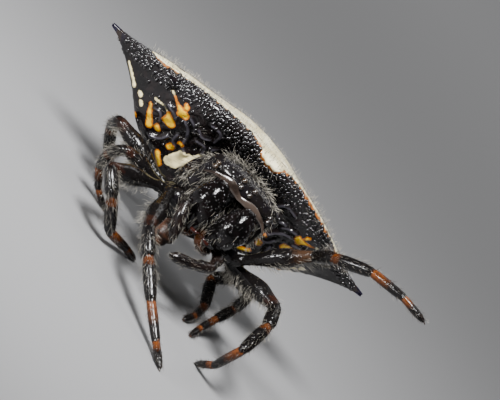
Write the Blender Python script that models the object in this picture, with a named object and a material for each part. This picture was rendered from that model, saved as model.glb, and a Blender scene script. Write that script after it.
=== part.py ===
"""Spiny orb weaver at rest, life size: a still model in named solid parts.

Lengths are in millimetres while the shapes are made and become metres in the finished objects.
Body frame: x to the spider's left, y to the rear, z up, origin between the outer eyes.
World frame: the head faces -Y, the spider's left is +X, the floor is z = 0.
"""

import math

import bmesh
import bpy
import numpy as np

MM = 0.001
GAP = 0.3

# Pose of the body: angles in degrees, lengths in millimetres
FACE_HEIGHT = 5.35
NOSE_UP = 12.4
LEFT_SIDE_UP = 3.4
WAIST_TWIST = 7.5
WAIST_Y = 3.5
ORIGIN_SHIFT = (0.019, -1.0015)

# Legs: where each thigh starts in the body frame, and the lengths of the five joints
HIP_X = {1: 1.9, 2: 2.1, 3: 2.1, 4: 1.9}
HIP_Y = {1: 0.82, 2: 1.78, 3: 2.5, 4: 3.22}
HIP_Z = {1: -1.95, 2: -2.1, 3: -2.1, 4: -2.0}
LEG_LENGTHS = {
    1: (3.2, 1.25, 1.8, 1.66, 1.1),
    2: (3.05, 1.2, 1.7, 1.65, 1.0),
    3: (2.1, 0.85, 1.05, 1.1, 0.8),
    4: (3.1, 1.15, 1.7, 1.7, 0.95),
}
# Bearing of each joint (0 forward, positive to the spider's left) and its slope upwards
LEG_POSES = {
    ("right", 1): ((2, 45, 50, 51, 39), (-15, -27, -25, -22, -13)),
    ("left", 1): ((85, 15, 56, 58, 74), (56, 36, 34, 17, 4)),
    ("left", 2): ((43, 11, -6, -180, -153), (14, -25, -39, -60, -69)),
    ("right", 2): ((-46, 55, 118, 139, 136), (-11, -28, -41, -8, -13)),
    ("right", 3): ((-74, -150, 155, 119, 80), (0, -54, -54, -40, -22)),
    ("right", 4): ((-104, 175, 140, 140, 145), (2, -32, -37, -28, -15)),
    ("left", 3): ((117, 69, -20, -17, -12), (-14, -86, -39, -27, -18)),
    ("left", 4): ((146, -98, 19, -9, -20), (-16, -50, -23, -5, -14)),
}
RAISED_LEG = ("left", 1)
LEG_SIZE = {1: 1.0, 2: 1.0, 3: 0.84, 4: 0.97}
JOINT_RADIUS = 0.29
FOOT_RADIUS = 0.25
FOOT_DROP = 0.1

# Thickness along the three leg solids: fraction of the way, radius
FEMUR_PROFILE = ((0.0, 0.25), (0.24, 0.28), (0.48, 0.41), (0.68, 0.45), (0.9, 0.37), (1.0, 0.29))
SHIN_PROFILE = ((0.0, 0.29), (0.2, 0.33), (0.42, 0.29), (0.65, 0.31), (0.9, 0.29), (1.0, 0.27))
FOOT_PROFILE = ((0.0, 0.26), (0.5, 0.25), (0.9, 0.25), (1.0, 0.25))

# Abdomen: values at distances from the middle line
SPAN_X = (0.0, 1.0, 2.0, 3.0, 4.2, 5.3, 6.2, 7.1, 7.8)
TOP_Z = (2.4, 2.34, 2.14, 1.95, 1.72, 1.45, 1.18, 0.98, 0.9)
RIM_Z = (1.62, 1.72, 1.78, 1.7, 1.44, 1.16, 1.02, 0.93, 0.88)
BOTTOM_Z = (-3.0, -2.7, -2.05, -1.6, -1.15, -0.38, 0.14, 0.56, 0.8)
FRONT_Y = (2.05, 2.08, 2.22, 2.5, 3.05, 3.9, 4.3, 4.68, 4.88)
REAR_Y = (7.4, 7.4, 7.3, 7.1, 6.7, 6.1, 5.7, 5.32, 5.12)
WALL_Z = (0.35, 0.4, 0.6, 0.75, 0.5, 0.42, 0.62, 0.74, 0.82)
WALL_Y = (3.85, 3.65, 3.05, 2.8, 3.3, 4.2, 4.5, 4.75, 4.92)
CONE_Y = 4.7
SECTION_STEPS = 3
ABDOMEN_SECTIONS = 15

# Carapace: values at distances behind the eyes
HEAD_Y = (-0.08, 0.1, 0.42, 0.75, 1.05, 1.6, 2.2, 2.85, 3.35, 3.6)
HEAD_TOP = (0.3, 0.55, 0.76, 0.86, 0.9, 0.84, 0.58, 0.08, -0.5, -0.8)
HEAD_BELOW = (-0.05, -0.12, -0.14, -1.2, -2.25, -2.35, -2.35, -2.3, -2.1, -1.6)
HEAD_HALF = (1.25, 1.6, 1.78, 1.82, 1.84, 1.95, 2.1, 1.9, 1.35, 0.7)

SKIN_BLACK = (0.02, 0.017, 0.016)


def hermite(knots, values, at):
    """Smooth curve through the values, with slopes that never overshoot."""
    knots = np.asarray(knots, float)
    values = np.asarray(values, float)
    at = np.clip(np.asarray(at, float), knots[0], knots[-1])
    step = np.diff(knots)
    slope = np.diff(values) / step
    tangent = np.empty_like(values)
    tangent[1:-1] = np.where(
        slope[1:] * slope[:-1] > 0,
        2 * slope[1:] * slope[:-1] / np.where(slope[1:] + slope[:-1] == 0, 1, slope[1:] + slope[:-1]),
        0.0,
    )
    tangent[0], tangent[-1] = slope[0], slope[-1]
    i = np.clip(np.searchsorted(knots, at, "right") - 1, 0, len(step) - 1)
    t = (at - knots[i]) / step[i]
    return (
        (1 + 2 * t) * (1 - t) ** 2 * values[i]
        + t * (1 - t) ** 2 * step[i] * tangent[i]
        + t * t * (3 - 2 * t) * values[i + 1]
        + t * t * (t - 1) * step[i] * tangent[i + 1]
    )


def body_axes(twist=0.0):
    """Left, rear and up of the body in the world, turned by the twist about up."""
    pitch, roll, turn = (math.radians(a) for a in (NOSE_UP, LEFT_SIDE_UP, twist))
    rear = np.array([0.0, math.cos(pitch), -math.sin(pitch)])
    left = np.array(
        [math.cos(roll), math.sin(roll) * math.sin(pitch), math.sin(roll) * math.cos(pitch)]
    )
    up = np.cross(left, rear)
    return np.array(
        [
            math.cos(turn) * left + math.sin(turn) * rear,
            math.cos(turn) * rear - math.sin(turn) * left,
            up,
        ]
    )


def head_to_world(points):
    """Points of the body frame at the head, placed in the world."""
    return np.asarray(points, float) @ body_axes() + (0, 0, FACE_HEIGHT)


def abdomen_to_world(points):
    """Points of the body frame at the abdomen, turned at the waist and placed in the world."""
    waist = np.array([0.0, WAIST_Y, 0.0])
    return (np.asarray(points, float) - waist) @ body_axes(WAIST_TWIST) + head_to_world(waist)


def unit(vector):
    return np.asarray(vector, float) / np.linalg.norm(vector)


def heading(bearing, slope):
    b, s = math.radians(bearing), math.radians(slope)
    return np.array([math.sin(b) * math.cos(s), -math.cos(b) * math.cos(s), math.sin(s)])


def material(name, colour, roughness, metallic=0.0):
    made = bpy.data.materials.new(name)
    made.use_nodes = True
    shader = made.node_tree.nodes["Principled BSDF"]
    shader.inputs["Base Color"].default_value = (*colour, 1.0)
    shader.inputs["Roughness"].default_value = roughness
    shader.inputs["Metallic"].default_value = metallic
    return made


def body_from(name, points, faces, dressed):
    """One mesh object from points in millimetres, its faces turned outwards."""
    mesh = bpy.data.meshes.new(name)
    mesh.from_pydata([tuple(p) for p in np.asarray(points, float)], [], faces)
    work = bmesh.new()
    work.from_mesh(mesh)
    bmesh.ops.remove_doubles(work, verts=work.verts, dist=1e-4)
    bmesh.ops.recalc_face_normals(work, faces=work.faces)
    if work.calc_volume(signed=True) < 0:
        bmesh.ops.reverse_faces(work, faces=work.faces)
    work.to_mesh(mesh)
    work.free()
    mesh.polygons.foreach_set("use_smooth", [True] * len(mesh.polygons))
    mesh.materials.append(dressed)
    made = bpy.data.objects.new(name, mesh)
    bpy.context.scene.collection.objects.link(made)
    return made


def lofted(name, rings, dressed):
    """A closed body through rings of equal length, its ends closed by fans."""
    rings = np.asarray(rings, float)
    count, around, _ = rings.shape
    points = np.vstack([rings.reshape(-1, 3), rings[0].mean(0), rings[-1].mean(0)])
    faces = []
    for i in range(count - 1):
        for j in range(around):
            k = (j + 1) % around
            faces.append((i * around + j, i * around + k, (i + 1) * around + k, (i + 1) * around + j))
    last = (count - 1) * around
    for j in range(around):
        k = (j + 1) % around
        faces.append((count * around, k, j))
        faces.append((count * around + 1, last + j, last + k))
    return body_from(name, points, faces, dressed)


def rounded_path(corners, reach=0.4, steps=4):
    """The corners as a path whose inner bends are curves that start and end within reach."""
    corners = [np.asarray(c, float) for c in corners]
    path = [corners[0]]
    for before, here, after in zip(corners, corners[1:], corners[2:]):
        short = min(np.linalg.norm(here - before), np.linalg.norm(after - here)) * 0.45
        a = here - unit(here - before) * min(reach, short)
        b = here + unit(after - here) * min(reach, short)
        for t in np.linspace(0, 1, steps):
            path.append((1 - t) ** 2 * a + 2 * t * (1 - t) * here + t * t * b)
    path.append(corners[-1])
    return np.array(path)


def tube(name, corners, profile, dressed, sides=8, size=1.0, ends=(True, True), flat=1.0):
    """A limb along the corners: its radius follows the profile and its ends are round.

    flat is the height of the section as a share of its width.
    """
    path = rounded_path(corners)
    length = np.concatenate([[0], np.cumsum(np.linalg.norm(np.diff(path, axis=0), axis=1))])
    where = length / length[-1]
    extra = [t for t, _ in profile if 0 < t < 1 and np.abs(where - t).min() > 0.06]
    at = np.sort(np.concatenate([where, extra]))
    path = np.array([[np.interp(t, where, path[:, k]) for k in range(3)] for t in at])
    radius = hermite([t for t, _ in profile], [r * size for _, r in profile], at)
    tangent = np.gradient(path, axis=0)
    tangent[0], tangent[-1] = path[1] - path[0], path[-1] - path[-2]
    tangent /= np.linalg.norm(tangent, axis=1)[:, None]
    side = np.cross(tangent[0], (0, 0, 1.0))
    if np.linalg.norm(side) < 0.1:
        side = np.array([1.0, 0, 0])
    around = np.arange(sides) * 2 * math.pi / sides
    centres, radii, along = list(path), list(radius), list(tangent)
    for end, index, sign in ((0, 0, -1), (1, -1, 1)):
        if ends[end]:
            cap = [
                (path[index] + sign * tangent[index] * radius[index] * math.sin(a), radius[index] * math.cos(a))
                for a in (math.radians(38), math.radians(72))
            ]
            for centre, r in cap:
                place = 0 if sign < 0 else len(centres)
                centres.insert(place, centre)
                radii.insert(place, r)
                along.insert(place, tangent[index])
    rings = []
    for centre, r, t in zip(centres, radii, along):
        side = unit(side - t * (side @ t))
        over = np.cross(side, t)
        rings.append(
            centre + r * (np.cos(around)[:, None] * side + flat * np.sin(around)[:, None] * over)
        )
    return lofted(name, rings, dressed)


def ball(name, centre, radii, dressed, rows=8, around=12):
    """An egg-shaped body about the centre, its poles on y."""
    centre = np.asarray(centre, float)
    rings = []
    for a in np.linspace(-math.pi / 2, math.pi / 2, rows + 1)[1:-1]:
        b = np.arange(around) * 2 * math.pi / around
        rings.append(
            centre
            + np.column_stack(
                [
                    radii[0] * math.cos(a) * np.cos(b),
                    np.full(around, radii[1] * math.sin(a)),
                    radii[2] * math.cos(a) * np.sin(b),
                ]
            )
        )
    return lofted(name, rings, dressed)


def largest_only(made):
    """Keeps the biggest closed surface of the mesh."""
    work = bmesh.new()
    work.from_mesh(made.data)
    work.verts.ensure_lookup_table()
    groups, seen = [], set()
    for start in work.verts:
        if start in seen:
            continue
        group, queue = [], [start]
        seen.add(start)
        while queue:
            vert = queue.pop()
            group.append(vert)
            for edge in vert.link_edges:
                other = edge.other_vert(vert)
                if other not in seen:
                    seen.add(other)
                    queue.append(other)
        groups.append(group)
    groups.sort(key=len)
    for group in groups[:-1]:
        bmesh.ops.delete(work, geom=group, context="VERTS")
    bmesh.ops.triangulate(work, faces=work.faces)
    work.to_mesh(made.data)
    work.free()
    made.data.polygons.foreach_set("use_smooth", [True] * len(made.data.polygons))


def joined(base, others, solver="MANIFOLD"):
    """The base with the other bodies joined to it by one union."""
    group = bpy.data.collections.new(base.name + "_pieces")
    bpy.context.scene.collection.children.link(group)
    for other in others:
        bpy.context.scene.collection.objects.unlink(other)
        group.objects.link(other)
    union = base.modifiers.new("union", "BOOLEAN")
    union.operation = "UNION"
    union.operand_type = "COLLECTION"
    union.collection = group
    union.solver = solver
    seen = base.evaluated_get(bpy.context.evaluated_depsgraph_get())
    mesh = bpy.data.meshes.new_from_object(seen)
    base.modifiers.clear()
    base.data = mesh
    for other in others:
        bpy.data.objects.remove(other)
    bpy.data.collections.remove(group)
    largest_only(base)
    return base


def cut_at_floor(made):
    """Slices off what lies under the floor and closes the cut with a flat."""
    work = bmesh.new()
    work.from_mesh(made.data)
    cut = bmesh.ops.bisect_plane(
        work,
        geom=list(work.verts) + list(work.edges) + list(work.faces),
        plane_co=(0, 0, 0),
        plane_no=(0, 0, -1),
        clear_outer=True,
    )
    edges = [e for e in cut["geom_cut"] if isinstance(e, bmesh.types.BMEdge)]
    bmesh.ops.edgenet_fill(work, edges=edges)
    bmesh.ops.remove_doubles(work, verts=work.verts, dist=0.01)
    bmesh.ops.recalc_face_normals(work, faces=work.faces)
    work.to_mesh(made.data)
    work.free()


def leg_joints(side, number):
    """Hip, knee and the other joints of one leg in the world, down to the tip."""
    sign = 1 if side == "left" else -1
    here = head_to_world((sign * HIP_X[number], HIP_Y[number], HIP_Z[number]))
    joints = [here]
    bearings, slopes = LEG_POSES[(side, number)]
    for length, bearing, slope in zip(LEG_LENGTHS[number], bearings, slopes):
        here = here + length * heading(bearing, slope)
        joints.append(here)
    if (side, number) != RAISED_LEG:
        drop = joints[4][2] - (FOOT_RADIUS - FOOT_DROP)
        length = LEG_LENGTHS[number][4] - FOOT_RADIUS / 2
        level = math.degrees(math.asin(np.clip(drop / length, -1, 1)))
        joints[5] = joints[4] + length * heading(bearings[4], -level)
    return joints


def setback(before, after, radius=JOINT_RADIUS):
    """How far the centre of a round end stays from the joint, so that two ends keep the gap."""
    bend = math.acos(np.clip(unit(before) @ unit(after), -0.9, 1))
    return (GAP + 2 * radius) / (2 * math.cos(bend / 2))


def add_leg(side, number, skin):
    """Thigh, shin and foot of one leg."""
    joints = leg_joints(side, number)
    ways = [b - a for a, b in zip(joints, joints[1:])]
    size = LEG_SIZE[number]
    name = f"leg_{number}_{side}"
    knee = setback(ways[0], ways[1])
    ankle = setback(ways[2], ways[3])
    hip = (GAP + 2 * JOINT_RADIUS) / 2
    thigh = tube(
        name + "_femur",
        (joints[0] + unit(ways[0]) * hip, joints[1] - unit(ways[0]) * knee),
        FEMUR_PROFILE,
        skin,
        sides=10,
        size=size,
    )
    shin = tube(
        name + "_tibia",
        (joints[1] + unit(ways[1]) * knee, joints[2], joints[3] - unit(ways[2]) * ankle),
        SHIN_PROFILE,
        skin,
        size=0.5 + 0.5 * size,
    )
    foot = tube(
        name + "_foot",
        (joints[3] + unit(ways[3]) * ankle, joints[4], joints[5]),
        FOOT_PROFILE,
        skin,
    )
    if (side, number) != RAISED_LEG:
        cut_at_floor(foot)
    return thigh, shin, foot


def abdomen_section(x):
    """The outline of the abdomen across one distance from the middle line."""
    away = abs(x)
    top, rim, bottom, wall = (hermite(SPAN_X, v, away) for v in (TOP_Z, RIM_Z, BOTTOM_Z, WALL_Z))
    front, rear, wall_y = (hermite(SPAN_X, v, away) for v in (FRONT_Y, REAR_Y, WALL_Y))
    middle = (front + rear) / 2 * 0.6 + CONE_Y * 0.4
    corners = np.array(
        [
            (front, rim),
            (front * 0.72 + rear * 0.28, rim * 0.25 + top * 0.75),
            (middle * 0.9 + rear * 0.1, top),
            (front * 0.22 + rear * 0.78, rim * 0.3 + top * 0.7),
            (rear, rim * 0.85 + wall * 0.15),
            (rear * 0.93 + middle * 0.07, wall * 0.8 + bottom * 0.2),
            (rear * 0.35 + middle * 0.65, wall * 0.26 + bottom * 0.74),
            (middle, bottom),
            (wall_y * 0.5 + middle * 0.5, wall * 0.43 + bottom * 0.57),
            (wall_y, wall),
        ]
    )
    ring = []
    count = len(corners)
    for i in range(count):
        a, b, c, d = (corners[(i + k) % count] for k in (-1, 0, 1, 2))
        for t in np.arange(SECTION_STEPS) / SECTION_STEPS:
            m0, m1 = (c - a) * 0.5, (d - b) * 0.5
            p = (
                (2 * t**3 - 3 * t**2 + 1) * b
                + (t**3 - 2 * t**2 + t) * m0
                + (3 * t**2 - 2 * t**3) * c
                + (t**3 - t**2) * m1
            )
            ring.append((x, p[0], p[1]))
    return np.array(ring)


def add_abdomen(skin):
    """Abdomen with its long side spines and the short ones before and behind them."""
    reach = np.sin(np.linspace(0, 1, ABDOMEN_SECTIONS) * math.pi / 2 * 0.93)
    reach = reach / reach[-1] * SPAN_X[-1]
    places = np.concatenate([-reach[::-1], reach[1:]])
    body = lofted("abdomen", [abdomen_section(x) for x in places], skin)
    horns = []
    for sign in (-1, 1):
        horns.append(
            tube(
                "front_horn",
                ((sign * 4.2, 3.9, 1.1), (sign * 5.1, 3.15, 1.12)),
                ((0, 0.5), (0.6, 0.3), (1, 0.14)),
                skin,
            )
        )
        horns.append(
            tube(
                "rear_horn",
                ((sign * 1.6, 6.9, 1.0), (sign * 1.85, 8.15, 0.95)),
                ((0, 0.62), (0.5, 0.42), (1, 0.14)),
                skin,
            )
        )
    body = joined(body, horns)
    place(body, abdomen_to_world)
    return body


def add_spinnerets(skin):
    """The short ring and cones on the tip of the underside."""
    ring = tube(
        "spinnerets",
        ((0, CONE_Y, -3.38), (0, CONE_Y - 0.02, -3.62)),
        ((0, 0.52), (0.5, 0.46), (1, 0.33)),
        skin,
        sides=12,
        ends=(False, True),
    )
    place(ring, abdomen_to_world)
    return ring


def head_section(y):
    """The outline of the head and trunk across one distance behind the eyes."""
    top, below, half = (hermite(HEAD_Y, v, y) for v in (HEAD_TOP, HEAD_BELOW, HEAD_HALF))
    edge = max(below + 0.12, -1.15) if y > 0.6 else (top + below) / 2 - 0.05
    corners = []
    for a in np.linspace(0, math.pi, 11):
        c, s = math.cos(a), math.sin(a)
        corners.append((half * np.sign(c) * abs(c) ** 0.75, y, edge + (top - edge) * s**0.8))
    for a in np.linspace(math.pi, 2 * math.pi, 9)[1:-1]:
        c, s = math.cos(a), math.sin(a)
        corners.append((half * 0.93 * np.sign(c) * abs(c) ** 1.15, y, edge + (edge - below) * s))
    return np.array(corners)


def hip_end(side, number):
    """Centre of the round end of the hip stub, in the body frame."""
    sign = 1 if side == "left" else -1
    hip = np.array([sign * HIP_X[number], HIP_Y[number], HIP_Z[number]])
    root = np.array([sign * 0.75, 0.6 * HIP_Y[number] + 0.4 * 2.0, -1.85])
    way = unit(hip - root)
    femur = unit(leg_joints(side, number)[1] - leg_joints(side, number)[0])
    in_body = body_axes() @ femur
    back = setback(way, in_body) * 2 - (GAP + 2 * JOINT_RADIUS) / 2
    return root, hip - way * max(back, 0.3)


def add_cephalothorax(skin):
    """Carapace, eyes, breast plate, mouth plates, hip stubs and waist in one body."""
    rows = np.concatenate([[-0.08, 0.02, 0.14, 0.3, 0.5, 0.62, 0.78], np.linspace(0.95, 3.35, 10), [3.6]])
    trunk = lofted("cephalothorax", [head_section(y) for y in rows], skin)
    extras = []
    for side in ("left", "right"):
        sign = 1 if side == "left" else -1
        for number in (1, 2, 3, 4):
            root, end = hip_end(side, number)
            extras.append(
                tube("hip", (root, end), ((0, 0.42), (0.6, 0.4), (1, 0.32)), skin, sides=10)
            )
        extras.append(
            tube(
                "mouth_plate",
                ((sign * 0.34, 1.1, -2.25), (sign * 0.4, 0.5, -2.68)),
                ((0, 0.4), (0.6, 0.38), (1, 0.28)),
                skin,
                sides=10,
            )
        )
        for x, y, z, r in ((1.55, 0.08, 0.02, 0.16), (1.5, 0.2, 0.22, 0.15), (0.22, -0.06, 0.16, 0.15), (0.3, 0.06, 0.46, 0.15)):
            extras.append(ball("eye", (sign * x, y, z), (r, r, r), skin, rows=6, around=8))
    extras.append(
        tube("waist", ((0, 3.1, -1.1), (0, 3.55, -1.0)), ((0, 0.45), (1, 0.3)), skin, sides=10)
    )
    trunk = joined(trunk, extras)
    place(trunk, head_to_world)
    return trunk


def add_chelicera(side, skin):
    """One jaw with its fang folded inwards under it."""
    sign = 1 if side == "left" else -1
    rings = []
    around = np.arange(14) * 2 * math.pi / 14
    for t in np.linspace(0, 1, 10):
        z = -0.42 - 1.72 * t
        swell = math.sin(math.pi * (0.16 + 0.72 * t)) ** 0.55
        half = 0.63 * swell
        deep = 0.7 * swell * (1 - 0.12 * t)
        centre = (sign * (0.81 - 0.12 * t), -0.24 + 0.08 * t)
        rings.append(
            np.column_stack(
                [
                    centre[0] + half * np.cos(around),
                    centre[1] + deep * np.sin(around),
                    np.full(14, z),
                ]
            )
        )
    jaw = lofted("chelicera_" + side, rings, skin)
    fang = tube(
        "fang",
        ((sign * 0.66, -0.2, -1.95), (sign * 0.5, -0.28, -2.3), (sign * 0.24, -0.24, -2.28)),
        ((0, 0.22), (0.5, 0.14), (1, 0.05)),
        skin,
    )
    jaw = joined(jaw, [fang])
    place(jaw, head_to_world)
    return jaw


def add_pedipalp(side, skin):
    """One feeler beside the mouth."""
    if side == "left":
        corners = ((1.32, 0.2, -2.36), (1.25, -0.38, -2.82), (0.46, -1.0, -3.25), (-0.34, -1.44, -3.54))
    else:
        corners = ((-0.88, -0.2, -2.84), (-1.46, -1.24, -1.76), (-1.24, -1.42, -2.3), (-0.84, -1.4, -3.06))
    palp = tube(
        "pedipalp_" + side,
        corners,
        ((0, 0.25), (0.25, 0.27), (0.6, 0.25), (0.85, 0.26), (1, 0.25)),
        skin,
    )
    place(palp, head_to_world)
    return palp


def place(made, to_world):
    """Moves the mesh of a body from its own frame into the world."""
    points = np.empty(len(made.data.vertices) * 3)
    made.data.vertices.foreach_get("co", points)
    made.data.vertices.foreach_set("co", to_world(points.reshape(-1, 3)).ravel())
    made.data.update()


def finish(bodies):
    """Moves every body so that the origin is under the middle of the whole, and makes metres."""
    for made in bodies:
        points = np.empty(len(made.data.vertices) * 3)
        made.data.vertices.foreach_get("co", points)
        points = (points.reshape(-1, 3) + (*ORIGIN_SHIFT, 0.0)) * MM
        made.data.vertices.foreach_set("co", points.ravel())
        made.data.update()


def main():
    for old in list(bpy.data.objects):
        bpy.data.objects.remove(old)
    black = material("glossy_black_shell", SKIN_BLACK, 0.22)
    leg_black = material("dark_brown_leg", (0.035, 0.022, 0.016), 0.3)
    plate = material("cream_and_black_abdomen", (0.42, 0.38, 0.3), 0.35)
    jaw = material("polished_black_jaw", (0.012, 0.011, 0.012), 0.12)
    brown = material("orange_brown_tip", (0.2, 0.07, 0.02), 0.4)
    bodies = [add_cephalothorax(black), add_abdomen(plate), add_spinnerets(brown)]
    for side in ("left", "right"):
        bodies.append(add_chelicera(side, jaw))
        bodies.append(add_pedipalp(side, leg_black))
        for number in (1, 2, 3, 4):
            bodies.extend(add_leg(side, number, leg_black))
    finish(bodies)


main()
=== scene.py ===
"""Spiny orb weaver at rest: skin, granules, hair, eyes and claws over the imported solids.

Lengths are in millimetres until a mesh is made, which turns them into metres.
Body frame: x to the spider's left, y to the rear, z up, origin between the outer eyes.
"""

from __future__ import annotations

import logging
import math
from collections.abc import Callable
from dataclasses import dataclass, field
from enum import Enum
from typing import ClassVar

import bpy
import numpy as np
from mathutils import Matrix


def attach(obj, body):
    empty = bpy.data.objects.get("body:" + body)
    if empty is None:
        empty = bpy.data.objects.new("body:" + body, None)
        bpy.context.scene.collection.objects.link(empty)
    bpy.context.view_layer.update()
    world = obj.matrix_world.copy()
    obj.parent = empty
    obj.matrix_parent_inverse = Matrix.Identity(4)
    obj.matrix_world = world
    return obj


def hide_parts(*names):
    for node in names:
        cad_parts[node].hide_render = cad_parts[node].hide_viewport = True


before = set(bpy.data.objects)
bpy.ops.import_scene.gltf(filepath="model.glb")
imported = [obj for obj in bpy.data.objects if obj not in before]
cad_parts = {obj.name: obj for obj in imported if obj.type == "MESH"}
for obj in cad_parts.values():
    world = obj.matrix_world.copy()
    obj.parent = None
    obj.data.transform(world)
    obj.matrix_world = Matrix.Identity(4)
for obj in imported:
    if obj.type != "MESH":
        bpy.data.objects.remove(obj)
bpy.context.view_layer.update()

logging.basicConfig(level=logging.INFO, format="%(message)s")
LOG = logging.getLogger("spider")

MM = 0.001
CAP_RINGS = 4  # Rings that round off each end of a tube
OUTSIDE = -9.0  # Field value far outside a marking
LEAST = 1e-6  # Weight that keeps a scatter possible where nothing else does
HAIR_FIELDS = ("shade", "along")
STRIP = 0.98  # Share of its strip that a skin fills on an unwrap that several share
SPARE = 0.996  # Share of the unwrap over which hairs and granules are placed
PATCH = 0.003  # Size of one hair or granule on the unwrap
DOME_ROOT = 0.6  # Depth of a granule's foot under the skin as a share of its radius
Array = np.ndarray
Colour = tuple[float, float, float]
Point = tuple[float, float, float]


# Curves and vectors


def unit(vectors: Array) -> Array:
    """Vectors of length one, along the last axis."""
    vectors = np.asarray(vectors, float)
    return vectors / np.maximum(np.linalg.norm(vectors, axis=-1, keepdims=True), 1e-12)


def smoothstep(low: float, high: float, value: Array) -> Array:
    """Rises from 0 at low to 1 at high as 3t^2 - 2t^3."""
    t = np.clip((np.asarray(value, float) - low) / (high - low), 0, 1)
    return t * t * (3 - 2 * t)


def bump(value: Array, centre: float, width: float) -> Array:
    """Bell curve exp(-((value - centre) / width)^2)."""
    return np.exp(-(((np.asarray(value, float) - centre) / width) ** 2))


def hermite(knots: Array, values: Array, at: Array) -> Array:
    """Smooth curve through knots: cubic pieces whose slopes are harmonic means, so none overshoots.

    Args:
        knots: Places of the known values, rising.
        values: The known values.
        at: Where the curve is read; beyond the ends the end value holds.

    Returns:
        The curve at those places.
    """
    knots, values = np.asarray(knots, float), np.asarray(values, float)
    at = np.clip(np.asarray(at, float), knots[0], knots[-1])
    step = np.diff(knots)
    slope = np.diff(values) / step
    product, total = slope[1:] * slope[:-1], slope[1:] + slope[:-1]
    tangent = np.empty_like(values)
    tangent[1:-1] = np.where(product > 0, 2 * product / np.where(total == 0, 1, total), 0)
    tangent[0], tangent[-1] = slope[0], slope[-1]
    i = np.clip(np.searchsorted(knots, at, "right") - 1, 0, len(step) - 1)
    t = (at - knots[i]) / step[i]
    return (
        (1 + 2 * t) * (1 - t) ** 2 * values[i]
        + t * (1 - t) ** 2 * step[i] * tangent[i]
        + t * t * (3 - 2 * t) * values[i + 1]
        + t * t * (t - 1) * step[i] * tangent[i + 1]
    )


def capsule_distance(points: Array, start: Array, end: Array, r0: float, r1: float) -> Array:
    """Distance from points to a rounded cone between two balls, negative inside it.

    Args:
        points: The points, along the last axis.
        start: Centre of the first ball.
        end: Centre of the last ball.
        r0: Radius of the first ball.
        r1: Radius of the last ball.

    Returns:
        One distance for each point.
    """
    start, end = np.asarray(start, float), np.asarray(end, float)
    along = end - start
    t = np.clip((points - start) @ along / max(along @ along, 1e-9), 0, 1)
    return np.linalg.norm(points - start - t[..., None] * along, axis=-1) - (r0 + (r1 - r0) * t)


def normals_of(grid: Array) -> Array:
    """Outward normals of a grid closed round its columns: cross product of its two slopes.

    Args:
        grid: Points by row and column.

    Returns:
        One normal for each point.
    """
    around = np.roll(grid, -1, 1) - np.roll(grid, 1, 1)
    along = np.gradient(grid, axis=0)
    normal = unit(np.cross(along, around))
    outwards = ((grid - grid.reshape(-1, 3).mean(0)) * normal).sum() >= 0
    return normal if outwards else -normal


def strip_faces(here: Array) -> Array:
    """Triangles between the rows of a grid of point numbers, closed round its columns.

    Args:
        here: Point numbers by row and column.

    Returns:
        Triangles as rows of three numbers.
    """
    a, b = here[:-1], np.roll(here, -1, 1)[:-1]
    c, d = np.roll(here, -1, 1)[1:], here[1:]
    return np.concatenate(
        [np.stack([a, b, c], -1).reshape(-1, 3), np.stack([a, c, d], -1).reshape(-1, 3)]
    )


def rounded(
    corners: Array, labels: Array, samples: int, reach: float, pull: float
) -> tuple[Array, Array]:
    """A line through corners, its bends rounded by a running mean along it.

    Args:
        corners: Corner points.
        labels: A number for each corner.
        samples: How many points the line gets.
        reach: How far the mean reaches to each side.
        pull: 1 to keep the ends in place by drawing the line on past them, 0 to let them shrink.

    Returns:
        The line's points, and the label at each, blended along the way.
    """
    at = np.concatenate([[0], np.cumsum(np.linalg.norm(np.diff(corners, axis=0), axis=1))])
    fine = np.linspace(0, at[-1], samples)
    path = np.stack([np.interp(fine, at, corners[:, k]) for k in range(3)], -1)
    half = int(reach / (fine[1] - fine[0]))
    window = np.ones(2 * half + 1) / (2 * half + 1)
    steps = np.arange(1, half + 1)[:, None] * pull
    before = path[0] - (path[1] - path[0]) * steps[::-1]
    after = path[-1] + (path[-1] - path[-2]) * steps
    padded = np.concatenate([before, path, after])
    smooth = np.stack([np.convolve(padded[:, k], window, "valid") for k in range(3)], -1)
    return smooth, np.interp(fine, at, labels)


@dataclass(frozen=True)
class Stance:
    """The body's pose: how the head and the abdomen sit in the world."""

    face_height: float = 5.35
    nose_up: float = 12.4
    left_side_up: float = 3.4
    waist_twist: float = 7.5
    waist_y: float = 3.5
    shift: Point = (0.019, -1.0015, 0.0)

    def axes(self, twist: float = 0.0) -> Array:
        """Left, rear and up of the body in the world.

        Args:
            twist: Turn about up in degrees.

        Returns:
            The three directions as rows.
        """
        pitch, roll, turn = (math.radians(a) for a in (self.nose_up, self.left_side_up, twist))
        rear = np.array([0.0, math.cos(pitch), -math.sin(pitch)])
        left = np.array(
            [math.cos(roll), math.sin(roll) * math.sin(pitch), math.sin(roll) * math.cos(pitch)]
        )
        up = np.cross(left, rear)
        c, s = math.cos(turn), math.sin(turn)
        return np.array([c * left + s * rear, c * rear - s * left, up])

    def head(self, points: Array) -> Array:
        """Points of the head's frame in the world."""
        return np.asarray(points, float) @ self.axes() + (0, 0, self.face_height) + self.shift

    def abdomen(self, points: Array) -> Array:
        """Points of the abdomen's frame in the world, turned at the waist."""
        waist = np.array([0.0, self.waist_y, 0.0])
        return (np.asarray(points, float) - waist) @ self.axes(self.waist_twist) + self.head(waist)


STANCE = Stance()


# Meshes


class Side(Enum):
    """A side of the spider."""

    LEFT = "left"
    RIGHT = "right"

    @property
    def sign(self) -> int:
        """1 on the left, -1 on the right."""
        return 1 if self is Side.LEFT else -1


class Slot(Enum):
    """The record's material slots."""

    SHELL = "shell"
    ABDOMEN = "abdomen"
    JAWS = "jaws"
    LEGS = "legs"
    SPINNERETS = "spinnerets"


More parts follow.
